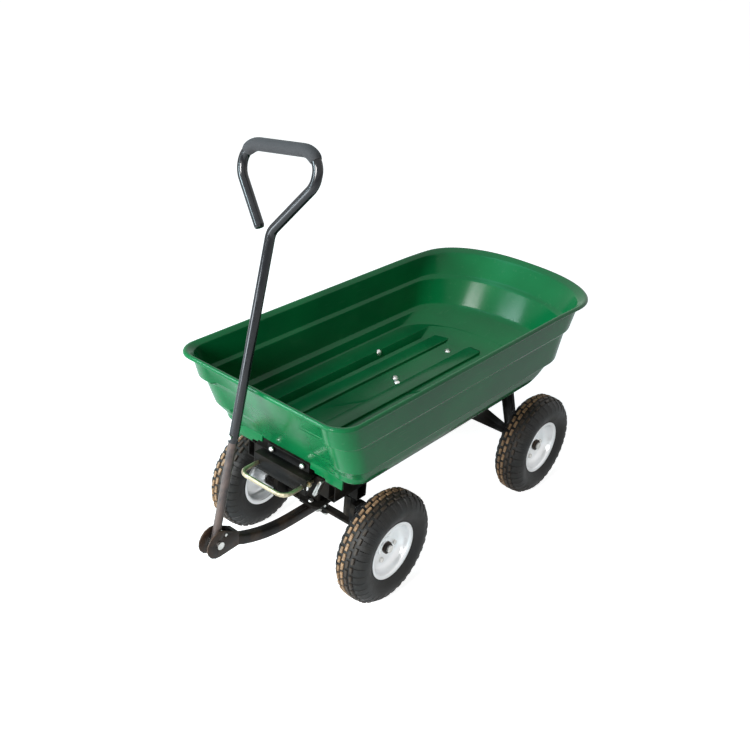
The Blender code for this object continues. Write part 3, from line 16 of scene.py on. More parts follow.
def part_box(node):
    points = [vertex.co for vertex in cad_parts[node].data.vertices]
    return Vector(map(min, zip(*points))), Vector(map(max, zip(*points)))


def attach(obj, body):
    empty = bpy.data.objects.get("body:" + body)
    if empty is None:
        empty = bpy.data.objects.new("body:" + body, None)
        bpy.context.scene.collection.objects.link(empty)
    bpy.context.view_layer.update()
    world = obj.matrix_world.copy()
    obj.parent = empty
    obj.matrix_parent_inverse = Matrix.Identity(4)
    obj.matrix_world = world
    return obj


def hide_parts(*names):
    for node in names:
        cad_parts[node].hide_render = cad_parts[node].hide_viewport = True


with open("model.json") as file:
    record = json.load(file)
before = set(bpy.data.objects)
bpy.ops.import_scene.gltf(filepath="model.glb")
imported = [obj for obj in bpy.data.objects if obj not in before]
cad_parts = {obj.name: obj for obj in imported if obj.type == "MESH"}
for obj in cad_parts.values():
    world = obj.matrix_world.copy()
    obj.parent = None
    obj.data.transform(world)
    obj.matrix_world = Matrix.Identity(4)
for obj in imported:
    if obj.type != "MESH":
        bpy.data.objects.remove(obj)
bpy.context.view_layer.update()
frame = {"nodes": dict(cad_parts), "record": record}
NODES = frame["nodes"]

# %% [markdown]
# ## The places that everything hangs on
# The front axle lies in the middle of the front beam. The wheels, the tongue and the steering sit
# round it, so all distances along the cart are counted from there, and plus is towards the rear.

# %% Find the front axle and the wheels
def middle(node):
    """The middle of a CAD node's box."""
    low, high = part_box(node)
    return (low + high) / 2


FRONT_Y = middle("front_beam").y
TYRE_RADIUS = middle("rear_axle").z
WHEEL_NAMES = ("front_left", "front_right", "rear_left", "rear_right")
WHEELS = {name: middle("tyre_" + name) for name in WHEEL_NAMES}
SIDE_OF = {name: 1 if name.endswith("right") else -1 for name in WHEEL_NAMES}
print("front axle at y", round(FRONT_Y, 4), "tyre radius", round(TYRE_RADIUS, 4))

# %% [markdown]
# ## Camera
# The square picture was taken from the front right and from above, with the camera tipped sideways
# by five degrees. Its place and angles were worked out from the wheels, the rim and the handle,
# because a camera turned by eye never fits all of them at once.

# %% Set up the camera
CAMERA_FROM_AXLE = Vector((1.2333, -1.4373, 1.4939))
CAMERA_TURN = radians(37.56)
CAMERA_DROP = radians(28.31)
CAMERA_ROLL = radians(5.0)
CAMERA_LENS = 49.792
SENSOR_WIDTH = 36.0

ahead = Vector((-sin(CAMERA_TURN) * cos(CAMERA_DROP), cos(CAMERA_TURN) * cos(CAMERA_DROP),
                -sin(CAMERA_DROP)))
right = Vector((cos(CAMERA_TURN), sin(CAMERA_TURN), 0))
up = right.cross(ahead)
rolled_right = right * cos(CAMERA_ROLL) + up * sin(CAMERA_ROLL)
rolled_up = up * cos(CAMERA_ROLL) - right * sin(CAMERA_ROLL)
turn = Matrix((rolled_right, rolled_up, -ahead)).transposed().to_4x4()
place = Vector((0, FRONT_Y, 0)) + CAMERA_FROM_AXLE

data = bpy.data.cameras.new("camera")
data.sensor_fit = "HORIZONTAL"
data.sensor_width = SENSOR_WIDTH
data.lens = CAMERA_LENS
camera = bpy.data.objects.new("camera", data)
bpy.context.scene.collection.objects.link(camera)
camera.matrix_world = Matrix.Translation(place) @ turn
bpy.context.scene.camera = camera
print("camera at", [round(v, 3) for v in camera.location])

# %% [markdown]
# ## A wrapper for materials
# Each finish is a Principled shader whose colour, roughness and bump come from a few noise
# textures. A small wrapper keeps such node trees short to write and easy to read.

# %% Define the node wrapper
def fill(tree, node, inputs):
    """Fills a node's inputs: a socket is linked, anything else is the input's value."""
    for key, value in inputs.items():
        if isinstance(value, bpy.types.NodeSocket):
            tree.links.new(value, node.inputs[key])
        else:
            node.inputs[key].default_value = value


def add_node(tree, kind, inputs=None, **settings):
    """A node with its settings and inputs."""
    node = tree.nodes.new(kind)
    for key, value in settings.items():
        setattr(node, key, value)
    fill(tree, node, inputs or {})
    return node


class Finish:
    """A material whose nodes are added one by one."""

    def __init__(self, name):
        self.material = bpy.data.materials.new(name)
        self.material.use_nodes = True
        self.tree = self.material.node_tree
        self.shader = self.tree.nodes["Principled BSDF"]
        self.place = self.add("ShaderNodeTexCoord").outputs["Object"]

    def add(self, kind, inputs=None, **settings):
        """A node of this material."""
        return add_node(self.tree, kind, inputs, **settings)

    def noise(self, scale, detail=3.0, roughness=0.55, stretch=(1, 1, 1)):
        """A noise value from the object's own coordinates."""
        place = self.add("ShaderNodeMapping", {"Vector": self.place, "Scale": stretch}).outputs[0]
        return self.add("ShaderNodeTexNoise", {"Vector": place, "Scale": scale, "Detail": detail,
                                               "Roughness": roughness}).outputs["Fac"]

    def band(self, value, low, high, out_low=0.0, out_high=1.0):
        """Maps a value's span onto another, and clamps it."""
        return self.add("ShaderNodeMapRange", {
            "Value": value, "From Min": low, "From Max": high,
            "To Min": out_low, "To Max": out_high}).outputs["Result"]

    def maths(self, operation, *values):
        """Joins values and numbers."""
        return self.add("ShaderNodeMath", dict(enumerate(values)), operation=operation).outputs[0]

    def times(self, first, second):
        """The product of two values."""
        return self.maths("MULTIPLY", first, second)

    def mix(self, share, low, high):
        """A colour between two others."""
        low, high = [(*c, 1.0) if isinstance(c, tuple) else c for c in (low, high)]
        return self.add("ShaderNodeMix", {0: share, 6: low, 7: high}, data_type="RGBA").outputs[2]

    def bump(self, height, distance, strength):
        """The surface's normal, tilted by a height value."""
        return self.add("ShaderNodeBump", {"Height": height, "Distance": distance,
                                           "Strength": strength}).outputs["Normal"]

    def edges(self, low=0.52, high=0.60):
        """A value that rises on outer edges, where paint wears first."""
        geometry = self.add("ShaderNodeNewGeometry")
        return self.band(geometry.outputs["Pointiness"], low, high)

    def shade(self, **inputs):
        """Fills the shader's own sockets and gives the material."""
        fill(self.tree, self.shader, {key.replace("_", " "): v for key, v in inputs.items()})
        return self.material


print("a finish can take", [name for name in vars(Finish) if not name.startswith("_")])

# %% [markdown]
# ## Moulded green poly
# The tub is moulded polyethylene: a satin gloss that shows the light in soft streaks, a faint
# orange-peel skin, and fine scuffs along the cart. Noise on the object's own coordinates gives all
# three without an image, so they stay sharp from near and need no unwrapping.

# %% Make the tub's green plastic
GREEN = (0.004, 0.185, 0.054)
DEEP_GREEN = (0.003, 0.140, 0.042)
SCUFF_GREEN = (0.06, 0.24, 0.11)
SCUFF_SHARE = 0.2
PEEL_DEPTH = 0.0002

finish = Finish("tub_green")
cloud = finish.noise(6.0, 2.0)
body = finish.mix(finish.band(cloud, 0.35, 0.7), DEEP_GREEN, GREEN)
scuff = finish.band(finish.noise(90.0, 4.0, 0.7, stretch=(1, 0.12, 1)), 0.60, 0.72)
POLY = finish.shade(
    Base_Color=finish.mix(finish.times(scuff, SCUFF_SHARE), body, SCUFF_GREEN),
    Roughness=finish.band(cloud, 0.3, 0.75, 0.16, 0.24), Specular_IOR_Level=0.2,
    Normal=finish.bump(finish.noise(260.0, 2.0), PEEL_DEPTH, 0.35))
print("made", POLY.name)

# %% [markdown]
# ## Painted steel
# The chassis is sprayed black, dull with dust and worn at its edges. The clevis and the tongue are
# browner, and the upper handle tube is the glossiest. One recipe serves for all: noise places the
# dust, and the mesh's pointed places take the wear, so none of it is painted by hand.

# %% Make the paints
EDGE_WEAR = 1.6
SPRAY_GRAIN = 0.00015


def black_paint(name, colour, worn, rough, wear, shine=0.5):
    """A paint with dust and worn edges in a second colour."""
    finish = Finish(name)
    patch = finish.noise(35.0, 4.0, 0.6)
    edge = finish.times(finish.edges(), finish.band(patch, 0.35, 0.6))
    dust = finish.times(finish.band(finish.noise(14.0, 5.0, 0.65), 0.48, 0.78), wear)
    dusty = finish.mix(dust, colour, worn)
    return finish.shade(
        Base_Color=finish.mix(finish.times(edge, min(1.0, wear * EDGE_WEAR)), dusty, worn),
        Roughness=finish.band(patch, 0.3, 0.7, rough - 0.06, rough + 0.10),
        Specular_IOR_Level=shine, Normal=finish.bump(finish.noise(420.0, 2.0), SPRAY_GRAIN, 0.3))


CHASSIS_PAINT = black_paint("chassis_black", (0.004, 0.004, 0.004), (0.036, 0.028, 0.020),
                            rough=0.42, wear=0.35, shine=0.10)
CLEVIS_PAINT = black_paint("clevis_black", (0.012, 0.010, 0.009), (0.13, 0.075, 0.048),
                           rough=0.42, wear=0.8, shine=0.25)
LOWER_PAINT = black_paint("lower_tube_black", (0.045, 0.040, 0.042), (0.14, 0.10, 0.085),
                          rough=0.34, wear=0.5, shine=0.35)
GLOSS_PAINT = black_paint("handle_black", (0.005, 0.006, 0.008), (0.04, 0.04, 0.045),
                          rough=0.13, wear=0.12)
print("made", [paint.name for paint in (CHASSIS_PAINT, CLEVIS_PAINT, LOWER_PAINT, GLOSS_PAINT)])

# %% [markdown]
# ## Bright metal
# Bolt heads are zinc plated, and the release bail has a pale yellow zinc. Plating is real metal, so
# the shader is fully metallic, and two close colours in patches keep it from looking like chrome.

# %% Make the plated metals
PLATING_GRAIN = 0.0001


def plated(name, colour, shade, rough):
    """A metal with patches of a second colour and an uneven gloss."""
    finish = Finish(name)
    return finish.shade(
        Base_Color=finish.mix(finish.band(finish.noise(60.0), 0.3, 0.7), shade, colour),
        Roughness=finish.band(finish.noise(180.0), 0.3, 0.7, rough - 0.08, rough + 0.12),
        Metallic=1.0, Normal=finish.bump(finish.noise(500.0, 2.0), PLATING_GRAIN, 0.25))


ZINC = plated("zinc_plate", (0.80, 0.79, 0.76), (0.58, 0.57, 0.54), rough=0.30)
YELLOW_ZINC = plated("bail_zinc", (0.66, 0.58, 0.42), (0.50, 0.42, 0.28), rough=0.40)
print("made", ZINC.name, "and", YELLOW_ZINC.name)

# %% [markdown]
# ## White wheel paint
# The wheels are pressed steel under gloss white. Plain white goes grey where the bowl turns away
# from the lamps, so the coat is mostly metallic and mirrors the white surroundings.

# %% Make the rim paint
WHITE = (0.94, 0.95, 0.96)
WHITE_SHADE = (0.86, 0.86, 0.85)
LACQUER_GRAIN = 0.0001

finish = Finish("rim_white")
patch = finish.noise(30.0, 4.0, 0.6)
RIM_PAINT = finish.shade(
    Base_Color=finish.mix(finish.band(patch, 0.45, 0.8), WHITE, WHITE_SHADE),
    Roughness=finish.band(patch, 0.3, 0.7, 0.28, 0.38), Metallic=0.8,
    Normal=finish.bump(finish.noise(300.0, 2.0), LACQUER_GRAIN, 0.25))
print("made", RIM_PAINT.name)

# %% [markdown]
# ## Rubber
# The tyres are black rubber with brown dust on the tread, and the extra brown on one half of the
# crown is a painted highlight. Noise can't know where a tyre meets the ground, so a mesh attribute
# called dust says it. The attribute is filled where the tyres are made.

# %% Make the rubber
RUBBER_BLACK = (0.010, 0.010, 0.010)
GRIME = (0.050, 0.044, 0.036)
GRIME_SHARE = 0.35
DUST_AND_HIGHLIGHT = (0.42, 0.26, 0.145)
DUST_LEAST = 0.45
DUST_SPECKS = 0.5
RUBBER_GRAIN = 0.0003

finish = Finish("tyre_rubber")
cloud = finish.band(finish.noise(18.0, 5.0, 0.65), 0.40, 0.70)
grimy = finish.mix(finish.times(cloud, GRIME_SHARE), RUBBER_BLACK, GRIME)
speck = finish.band(finish.noise(120.0, 3.0, 0.6), 0.38, 0.62)
# the dust attribute holds real dust on the block tops and a painted highlight on one half of the
# crown
dust_and_highlight = finish.add("ShaderNodeAttribute", attribute_name="dust").outputs["Fac"]
dust = finish.times(dust_and_highlight, finish.maths("MULTIPLY_ADD", speck, DUST_SPECKS, DUST_LEAST))
RUBBER = finish.shade(
    Base_Color=finish.mix(dust, grimy, DUST_AND_HIGHLIGHT),
    Roughness=finish.band(cloud, 0.0, 1.0, 0.45, 0.70), Specular_IOR_Level=0.35,
    Normal=finish.bump(finish.noise(700.0), RUBBER_GRAIN, 0.5))
print("made", RUBBER.name)

# %% [markdown]
# ## Foam
# The grip is a sleeve of dark foam with tiny open cells. Real holes would need millions of faces,
# and one fine noise for both colour and bump looks the same from a step away.

# %% Make the foam
FOAM_CELL = (0.020, 0.020, 0.022)
FOAM_SKIN = (0.058, 0.057, 0.060)
CELL_DEPTH = 0.0006

finish = Finish("grip_foam")
cells = finish.noise(900.0, 3.0, 0.7)
FOAM = finish.shade(
    Base_Color=finish.mix(finish.band(cells, 0.3, 0.7), FOAM_CELL, FOAM_SKIN),
    Roughness=0.85, Sheen_Weight=0.08, Sheen_Roughness=0.5,
    Normal=finish.bump(cells, CELL_DEPTH, 0.7))
print("made", FOAM.name)

# %% [markdown]
# ## Paint the CAD pieces
# The record names a material slot for every CAD piece. A piece whose shape is fine as it is, such
# as a tie rod, stays as it is and only gets its finish.

# %% Give every CAD piece its finish
SLOTS = {"tub_green": POLY, "chassis_black": CHASSIS_PAINT, "handle_black": GLOSS_PAINT,
         "tyre_rubber": RUBBER, "rim_white": RIM_PAINT, "zinc_plate": ZINC,
         "bail_zinc": YELLOW_ZINC, "grip_foam": FOAM}
SLOT_OF = {entry["node"]: entry["material_slot"] for entry in frame["record"]["subparts"]}
BODIES = frame["record"]["behaviour"]["bodies"]
BODY_OF = {node: body for body, nodes in BODIES.items() for node in nodes}

for name, node in NODES.items():
    node.data.materials.clear()
    node.data.materials.append(SLOTS[SLOT_OF[name]])

# %% [markdown]
# ## Hang new pieces on the cart
# A finer piece takes the place of a CAD piece and moves with its body. An extra, such as a bolt
# head that the CAD lacks, only rides on a body. Two helpers say so the same way for all.

# %% Define how a piece is hung
def settle(piece, node, finish=None):
    """Hangs a new piece on the body of the node that it stands for."""
    piece.data.materials.clear()
    piece.data.materials.append(finish or SLOTS[SLOT_OF[node]])
    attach(piece, BODY_OF[node])
    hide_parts(node)
    return piece


def add_on(piece, body, slot):
    """Hangs an extra piece, which stands for no node, on a body."""
    piece.data.materials.append(SLOTS[slot])
    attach(piece, body)
    return piece


print("slots", sorted(SLOTS))

# %% [markdown]
# ## Rounded steel
# Plates and square tubes have edges rounded by rolling and by paint, and those edges catch the
# light. A Bevel modifier would stumble over the triangles of the CAD mesh, so a copy of the mesh is
# merged, its flat faces are joined, and then every sharp edge is bevelled.

# %% Define the rounded copy
MERGE = 0.00001
FLAT_ANGLE = 1
STEEL_ANGLE = 40
SMOOTH_ANGLE = 38


def mesh_object(name, shape, smooth_to):
    """Turns a bmesh into an object with smooth shading up to an angle."""
    mesh = bpy.data.meshes.new(name)
    shape.to_mesh(mesh)
    shape.free()
    mesh.shade_smooth()
    mesh.set_sharp_from_angle(angle=radians(smooth_to))
    piece = bpy.data.objects.new(name, mesh)
    bpy.context.scene.collection.objects.link(piece)
    return piece


def blunt(shape, width, angle):
    """Rounds every edge of a bmesh that is sharper than an angle."""
    sharp = [edge for edge in shape.edges if edge.calc_face_angle(0) > radians(angle)]
    bmesh.ops.bevel(shape, geom=sharp, offset=width, segments=2, profile=0.5, affect="EDGES",
                    clamp_overlap=True)


def rounded_copy(node, width, finish=None):
    """The node's shape with its sharp edges rounded."""
    shape = bmesh.new()
    shape.from_mesh(NODES[node].data)
    bmesh.ops.remove_doubles(shape, verts=shape.verts, dist=MERGE)
    bmesh.ops.dissolve_limit(shape, angle_limit=radians(FLAT_ANGLE), verts=shape.verts,
                             edges=shape.edges)
    blunt(shape, width, STEEL_ANGLE)
    return settle(mesh_object(node + "_rounded", shape, SMOOTH_ANGLE), node, finish)


# %% Round the steel's edges
EDGE_OF = {"side_rail_left": 0.0016, "side_rail_right": 0.0016, "front_beam": 0.0016,
           "latch_cross_member": 0.0016, "rear_leg_left": 0.0008, "rear_leg_right": 0.0008,
           "latch_plate": 0.0008, "steering_plate": 0.0008, "pivot_block": 0.0008,
           "tongue_bar": 0.0016, "clevis": 0.0009}
for node, width in EDGE_OF.items():
    rounded_copy(node, width, CLEVIS_PAINT if node in ("tongue_bar", "clevis") else None)
print("rounded", list(EDGE_OF))

# %% [markdown]
# ## Rings, skins and rounded corners
# The tub, the tyres and the tubes are rings of points with quads between them, because that gives
# full control of every edge. Corners are rounded by a short curve, which works for the points of a
# section and for whole rows of sizes alike.

# %% Define rings, skins and rounded corners
LEG_SHARE = 0.48


def new_piece(name, shape, smooth_to=SMOOTH_ANGLE):
    """Turns a bmesh into an object with its faces turned outwards."""
    bmesh.ops.recalc_face_normals(shape, faces=shape.faces)
    return mesh_object(name, shape, smooth_to)


def skin(rings, closed=False, shape=None):
    """A bmesh skinned over rings, with caps unless the row of rings is closed."""
    if shape is None:
        shape = bmesh.new()
    rows = [[shape.verts.new(point) for point in ring] for ring in rings]
    pairs = list(zip(rows, rows[1:]))
    if closed:
        pairs.append((rows[-1], rows[0]))
    else:
        shape.faces.new(rows[0])
        shape.faces.new(rows[-1])
    for low, high in pairs:
        for i in range(len(low)):
            j = (i + 1) % len(low)
            shape.faces.new((low[i], low[j], high[j], high[i]))
    return shape


def rounded(points, radii, steps=4, closed=False, span_of=None):
    """The points with each corner swapped for a short curve that starts a distance before it.

    The distance counts all the numbers of a point, or only the first few."""
    count = len(points)
    route = []
    for i, point in enumerate(points):
        radius = radii[i] if isinstance(radii, (list, tuple)) else radii
        if radius == 0 or (not closed and i in (0, count - 1)):
            route.append(tuple(point))
            continue
        legs = []
        for other in (points[i - 1], points[(i + 1) % count]):
            span = sqrt(sum((a - b) ** 2 for a, b in zip(other[:span_of], point[:span_of])))
            share = min(radius / span, LEG_SHARE)
            legs.append([b + (a - b) * share for a, b in zip(other, point)])
        for k in range(steps + 1):
            t = k / steps
            route.append(tuple(a * (1 - t) ** 2 + 2 * b * t * (1 - t) + c * t * t
                               for a, b, c in zip(legs[0], point, legs[1])))
    return route


print("a corner becomes", len(rounded([(0, 0), (1, 0), (1, 1)], 0.1)) - 2, "points")

# %% [markdown]
# ## The tub
# The tub is one thin skin: a floor in a shallow pan, walls in tiers with narrow ledges, and a
# rolled lip. A subdivided box would blur the ledges, so a row of closed outlines, from the
# underside over the lip and down to the floor, gives the whole shape. Each has a front panel
# between round corners, straight sides and a round tail, where the rim sinks a little.

# %% Give the tub's sizes
WALL = 0.0045
FRONT_WALL = WALL * 1.13  # the leaning wall's thickness, measured level
DEPTH = 0.191
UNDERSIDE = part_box("tub")[1].z - DEPTH
FLOOR = UNDERSIDE + WALL
FRONT_FOOT = -0.101
FRONT_LEAN = 0.102
LIP_FRONT = -0.212
CORNERS = (0.034, 0.048)  # at the foot, at the rim
PANEL_HALF = (0.130, 0.160)
TAIL_LENGTHS = (0.125, 0.169)
FOOT_SQUARE, WALL_SQUARE, LIP_SQUARE = 2.17, 2.24, 2.42
JOG = 0.006
TAIL_DIP = 0.0085
DIP_LENGTH = 0.270

# the outer wall: height, half width, rear end, bulge of the front panel, rounding
TIERS = [
    (0.0000, 0.1810, 0.6040, 0.0000, 0.004), (0.0089, 0.1929, 0.6384, 0.0065, 0.008),
    (0.0240, 0.1980, 0.6608, 0.0015, 0.006), (0.0440, 0.2010, 0.6900, 0.0075, 0.003),
    (0.0510, 0.2110, 0.7035, 0.0075, 0.003), (0.1190, 0.2125, 0.7330, 0.0015, 0.003),
    (0.1260, 0.2190, 0.7430, 0.0104, 0.003), (0.1815, 0.2205, 0.7750, 0.0000, 0.001),
]
# the lip: height, half width, rear end, rounding
LIP = [
    (0.1825, 0.2225, 0.7785, 0.001), (0.1825, 0.2310, 0.7940, 0.003),
    (0.1875, 0.2310, 0.7940, 0.003), (0.1910, 0.2285, 0.7915, 0.003),
    (0.1910, 0.2245, 0.7875, 0.003),
]
RIM_HALF, RIM_REAR = LIP[1][1:3]
# the inner wall: height, half width, rear end, bulge, rounding
INNER = [
    (0.1830, 0.2168, 0.7708, 0.0000, 0.004), (0.1275, 0.2146, 0.7386, 0.0104, 0.003),
    (0.1205, 0.2080, 0.7285, 0.0015, 0.003), (0.0525, 0.2065, 0.6990, 0.0075, 0.003),
    (0.0455, 0.1965, 0.6855, 0.0075, 0.002), (0.0262, 0.1905, 0.6258, 0.0015, 0.002),
    (0.0235, 0.1870, 0.6176, 0.0015, 0.001),
]
# the pan has a squarer tail: its length and its squareness come last
PAN = [
    (0.0235, 0.1425, 0.6170, 0.0015, 0.001, 0.055, 1.7),
    (0.0045, 0.1362, 0.5590, 0.0000, 0.002, 0.037, 1.7),
]
print("underside at", round(UNDERSIDE, 4), "rim", 2 * RIM_HALF, "wide")

# %% Define one outline of the tub
CORNER_STEPS = 8
SIDE_STEPS = 24
TAIL_STEPS = 24
NARROWEST = 0.1  # half width that the corners leave straight
PANEL_MARGIN = 0.002


def between(pair, share):
    """A value between the two of a pair."""
    return pair[0] + (pair[1] - pair[0]) * share


def tail_dip(height, y):
    """How far the wall sinks towards the tail, most at the rim."""
    share = min(1.0, max(0.0, 1 - (RIM_REAR - y) / DIP_LENGTH))
    return TAIL_DIP * (height / DEPTH) ** 3 * share ** 2 * (3 - 2 * share)


def tub_outline(height, half_width, rear, panel, bulge, tail, power):
    """One closed outline of the tub at a height."""
    share = min(1.0, height / DEPTH)
    corner = min(between(CORNERS, share), half_width - NARROWEST)
    panel_x = min(between(PANEL_HALF, share), half_width - corner - JOG - PANEL_MARGIN)
    front = panel - bulge
    half = [(0, panel), (panel_x / 2, panel), (panel_x, panel), (panel_x + JOG, front)]
    for i in range(CORNER_STEPS + 1):
        turn = -pi / 2 + pi / 2 * i / CORNER_STEPS
        half.append((half_width - corner + corner * cos(turn),
                     front + corner + corner * sin(turn)))
    for i in range(1, SIDE_STEPS):
        half.append((half_width, front + corner + (rear - tail - front - corner) * i / SIDE_STEPS))
    for i in range(TAIL_STEPS + 1):
        turn = pi / 2 * i / TAIL_STEPS
        half.append((half_width * cos(turn) ** (2 / power),
                     rear - tail + tail * sin(turn) ** (2 / power)))
    outline = half + [(-x, y) for x, y in reversed(half[1:-1])]
    return [Vector((x, FRONT_Y + y, UNDERSIDE + height - tail_dip(height, y))) for x, y in outline]


# %% Skin the tub
def tail_of(height, squareness):
    """The tail's length and squareness at a height of the wall or the lip."""
    share = min(1.0, height / DEPTH)
    return between(TAIL_LENGTHS, share), between((FOOT_SQUARE, squareness), share)


def front_at(height):
    """How far forward the front wall has come at a height."""
    return FRONT_FOOT - FRONT_LEAN * height / DEPTH


def tub_rows():
    """The sizes of each outline and its rounding, which comes last."""
    rows = [(high, wide, rear, front_at(high), bulge, *tail_of(high, WALL_SQUARE), turn)
            for high, wide, rear, bulge, turn in TIERS]
    rows += [(high, wide, rear, LIP_FRONT + RIM_HALF - wide, 0.0, *tail_of(high, LIP_SQUARE), turn)
             for high, wide, rear, turn in LIP]
    rows += [(high, wide, rear, front_at(high) + FRONT_WALL, bulge, *tail_of(high, WALL_SQUARE),
              turn) for high, wide, rear, bulge, turn in INNER]
    rows += [(high, wide, rear, front_at(high) + FRONT_WALL, bulge, tail, power, turn)
             for high, wide, rear, bulge, turn, tail, power in PAN]
    return rows


rows = tub_rows()
rings = rounded([row[:-1] for row in rows], [row[-1] for row in rows], span_of=3)
tub = new_piece("tub_shell", skin([tub_outline(*ring) for ring in rings]), 50)
settle(tub, "tub")
print("the tub has", len(rings), "rings and", len(tub.data.polygons), "faces")

# %% [markdown]
# ## Floor ribs
# Three raised ribs stiffen the floor. They have steep sides, flat tops and rounded rear ends. Each
# is a short row of sections that shrinks to almost nothing at both ends, and stands a little in the
# floor, so the meshes need no joining.

# %% Add the ribs
RIB_HALF = 0.0195
RIB_RISE = 0.007
RIB_SINK = 0.0008
RIB_ROUND = 0.0012
RIB_PLACES = (-0.098, 0.0, 0.098)
RIB_FRONT = FRONT_FOOT + 0.012
RIB_REAR = 0.572


def rib_rings(x):
    """The sections of one rib from front to rear."""
    flank = [(RIB_HALF + 0.002, -RIB_SINK), (RIB_HALF + 0.0005, 0.0), (RIB_HALF - 0.0008, RIB_RISE)]
    section = rounded([(-a, b) for a, b in flank] + flank[::-1], RIB_ROUND, 3)
    # place along the cart, share of the height, share of the width
    stations = [(RIB_FRONT, 0.02, 1.0), (RIB_FRONT + 0.003, 0.3, 1.0),
                (RIB_FRONT + 0.008, 0.95, 1.0), (RIB_FRONT + 0.010, 1.0, 1.0),
                (RIB_REAR - 0.014, 1.0, 1.0), (RIB_REAR - 0.007, 1.0, 0.93),
                (RIB_REAR - 0.003, 0.97, 0.80), (RIB_REAR - 0.001, 0.6, 0.72),
                (RIB_REAR, 0.02, 0.70)]
    return [[Vector((x + a * narrow, FRONT_Y + y, FLOOR + b * share - RIB_SINK))
             for a, b in section] for y, share, narrow in stations]


all_ribs = bmesh.new()
for x in RIB_PLACES:
    skin(rib_rings(x), shape=all_ribs)
ribs = add_on(new_piece("floor_ribs", all_ribs, 50), "tipping_tub", "tub_green")
print("ribs", len(RIB_PLACES), "with", len(ribs.data.polygons), "faces")

# %% [markdown]
# ## Bolt heads
# Low domed heads hold the tub to its frame, two of them on the pan's steep sides, and two smaller
# ones hold the latch plate. A head is a quarter circle on a lathe, drawn upright and then turned to
# look along its bolt. A squashed sphere would do too, but it has no flat foot.

# %% Define the lathe and the domed head
HEAD_TURNS = (0, 0.3, 0.6, 0.9, 1.2)
HEAD_TIP = 0.0002
HEAD_SINK = 0.001
HEAD_SIDES = 24


def lathe(profile, sides, place, axis="X"):
    """Rings round an axis through a place. The profile is (radius, reach along the axis)."""
    rings = []
    for radius, reach in profile:
        ring = []
        for i in range(sides):
            turn = 2 * pi * i / sides
            a, b = radius * cos(turn), radius * sin(turn)
            local = {"X": (reach, a, b), "Z": (a, b, reach)}[axis]
            ring.append(Vector(place) + Vector(local))
        rings.append(ring)
    return rings


def bolt_dome(name, place, way, radius, rise):
    """A low domed bolt head whose top points along a direction."""
    dome = [(radius * cos(turn), rise * sin(turn)) for turn in HEAD_TURNS] + [(HEAD_TIP, rise)]
    shape = skin(lathe([(radius, -HEAD_SINK)] + dome, HEAD_SIDES, (0, 0, 0), "Z"))
    turn = Vector(way).to_track_quat("Z", "Y").to_matrix().to_4x4()
    bmesh.ops.transform(shape, matrix=Matrix.Translation(place) @ turn, verts=shape.verts)
    return new_piece(name, shape, 50)


# %% Add the bolt heads
TUB_HEAD = (0.0085, 0.0038)  # radius, rise
LATCH_HEAD = (0.0066, 0.0040)
STEERING_HEAD = (0.0065, 0.0040)
PAN_BOLT = (0.1412, FRONT_Y + 0.358, UNDERSIDE + 0.0178)
PAN_SLOPE = (0.885, 0.466)
LATCH_BOLT = (0.044, FRONT_Y - 0.1095, 0.3093)
LATCH_WAY = (0, -1, 0.15)
FLOOR_BOLT = (-0.0310, FRONT_Y + 0.293, FLOOR)
STEERING_BOLT = (0.002, FRONT_Y - 0.027, 0.1614)
UP = (0, 0, 1)

for side, node in ((-1, "floor_bolt_5"), (1, "floor_bolt_6")):
    place = Vector((side * PAN_BOLT[0], *PAN_BOLT[1:]))
    way = (-side * PAN_SLOPE[0], 0, PAN_SLOPE[1])
    settle(bolt_dome("pan_bolt_" + node[-1], place, way, *TUB_HEAD), node, ZINC)
for side, node in ((-1, "latch_bolt_left"), (1, "latch_bolt_right")):
    place = Vector((side * LATCH_BOLT[0], *LATCH_BOLT[1:]))
    settle(bolt_dome("head_" + node, place, LATCH_WAY, *LATCH_HEAD), node, ZINC)
add_on(bolt_dome("extra_floor_bolt", FLOOR_BOLT, UP, *TUB_HEAD), "tipping_tub", "zinc_plate")
add_on(bolt_dome("steering_bolt", STEERING_BOLT, UP, *STEERING_HEAD), "tongue", "zinc_plate")
print("four heads in the place of CAD bolts and two extra ones")

# %% [markdown]
# ## Skirts and lug
# Two green tabs hang from the front edge of the tub beside the latch, and their lower edges step
# down outwards. A short zinc lug stands slanted on the chassis next to them. All three are flat
# outlines with a thickness and rounded edges, which is how such pieces are cut from sheet.

# %% Make the skirts
SKIRT_FACE = FRONT_Y + FRONT_FOOT - 0.0035
SKIRT_SHEET = 0.005
SKIRT_EDGE = 0.001
SHEET_ANGLE = 30


def upright_plate(name, outline, front, back, edge, body, slot):
    """An outline in X and Z, given a thickness along Y and rounded edges."""
    shape = skin([[Vector((x, y, z)) for x, z in outline] for y in (front, back)])
    bmesh.ops.recalc_face_normals(shape, faces=shape.faces)
    blunt(shape, edge, SHEET_ANGLE)
    return add_on(new_piece(name, shape), body, slot)


for side, hand, inner in ((-1, "left", 0.076), (1, "right", 0.0625)):
    # distance from the middle, height over the tub's underside
    half = [(inner, 0.006), (inner, -0.010), (inner + 0.0115, -0.010), (inner + 0.0135, -0.015),
            (0.104, -0.015), (0.106, -0.021), (0.150, -0.021), (0.150, 0.006)]
    outline = [(side * x, UNDERSIDE + z) for x, z in half]
    upright_plate("skirt_" + hand, outline, SKIRT_FACE, SKIRT_FACE + SKIRT_SHEET, SKIRT_EDGE,
                  "tipping_tub", "tub_green")
print("skirts at y", round(SKIRT_FACE, 4))

# %% Add the zinc lug beside the latch
LUG_FOOT = Vector((0.0755, 0.2520))
LUG_TOP = Vector((0.0900, 0.2880))
LUG_HALF = 0.004
LUG_DEPTHS = (FRONT_Y - 0.1035, FRONT_Y - 0.0952)
LUG_EDGE = 0.0008
slant = atan2(LUG_TOP.y - LUG_FOOT.y, LUG_TOP.x - LUG_FOOT.x)


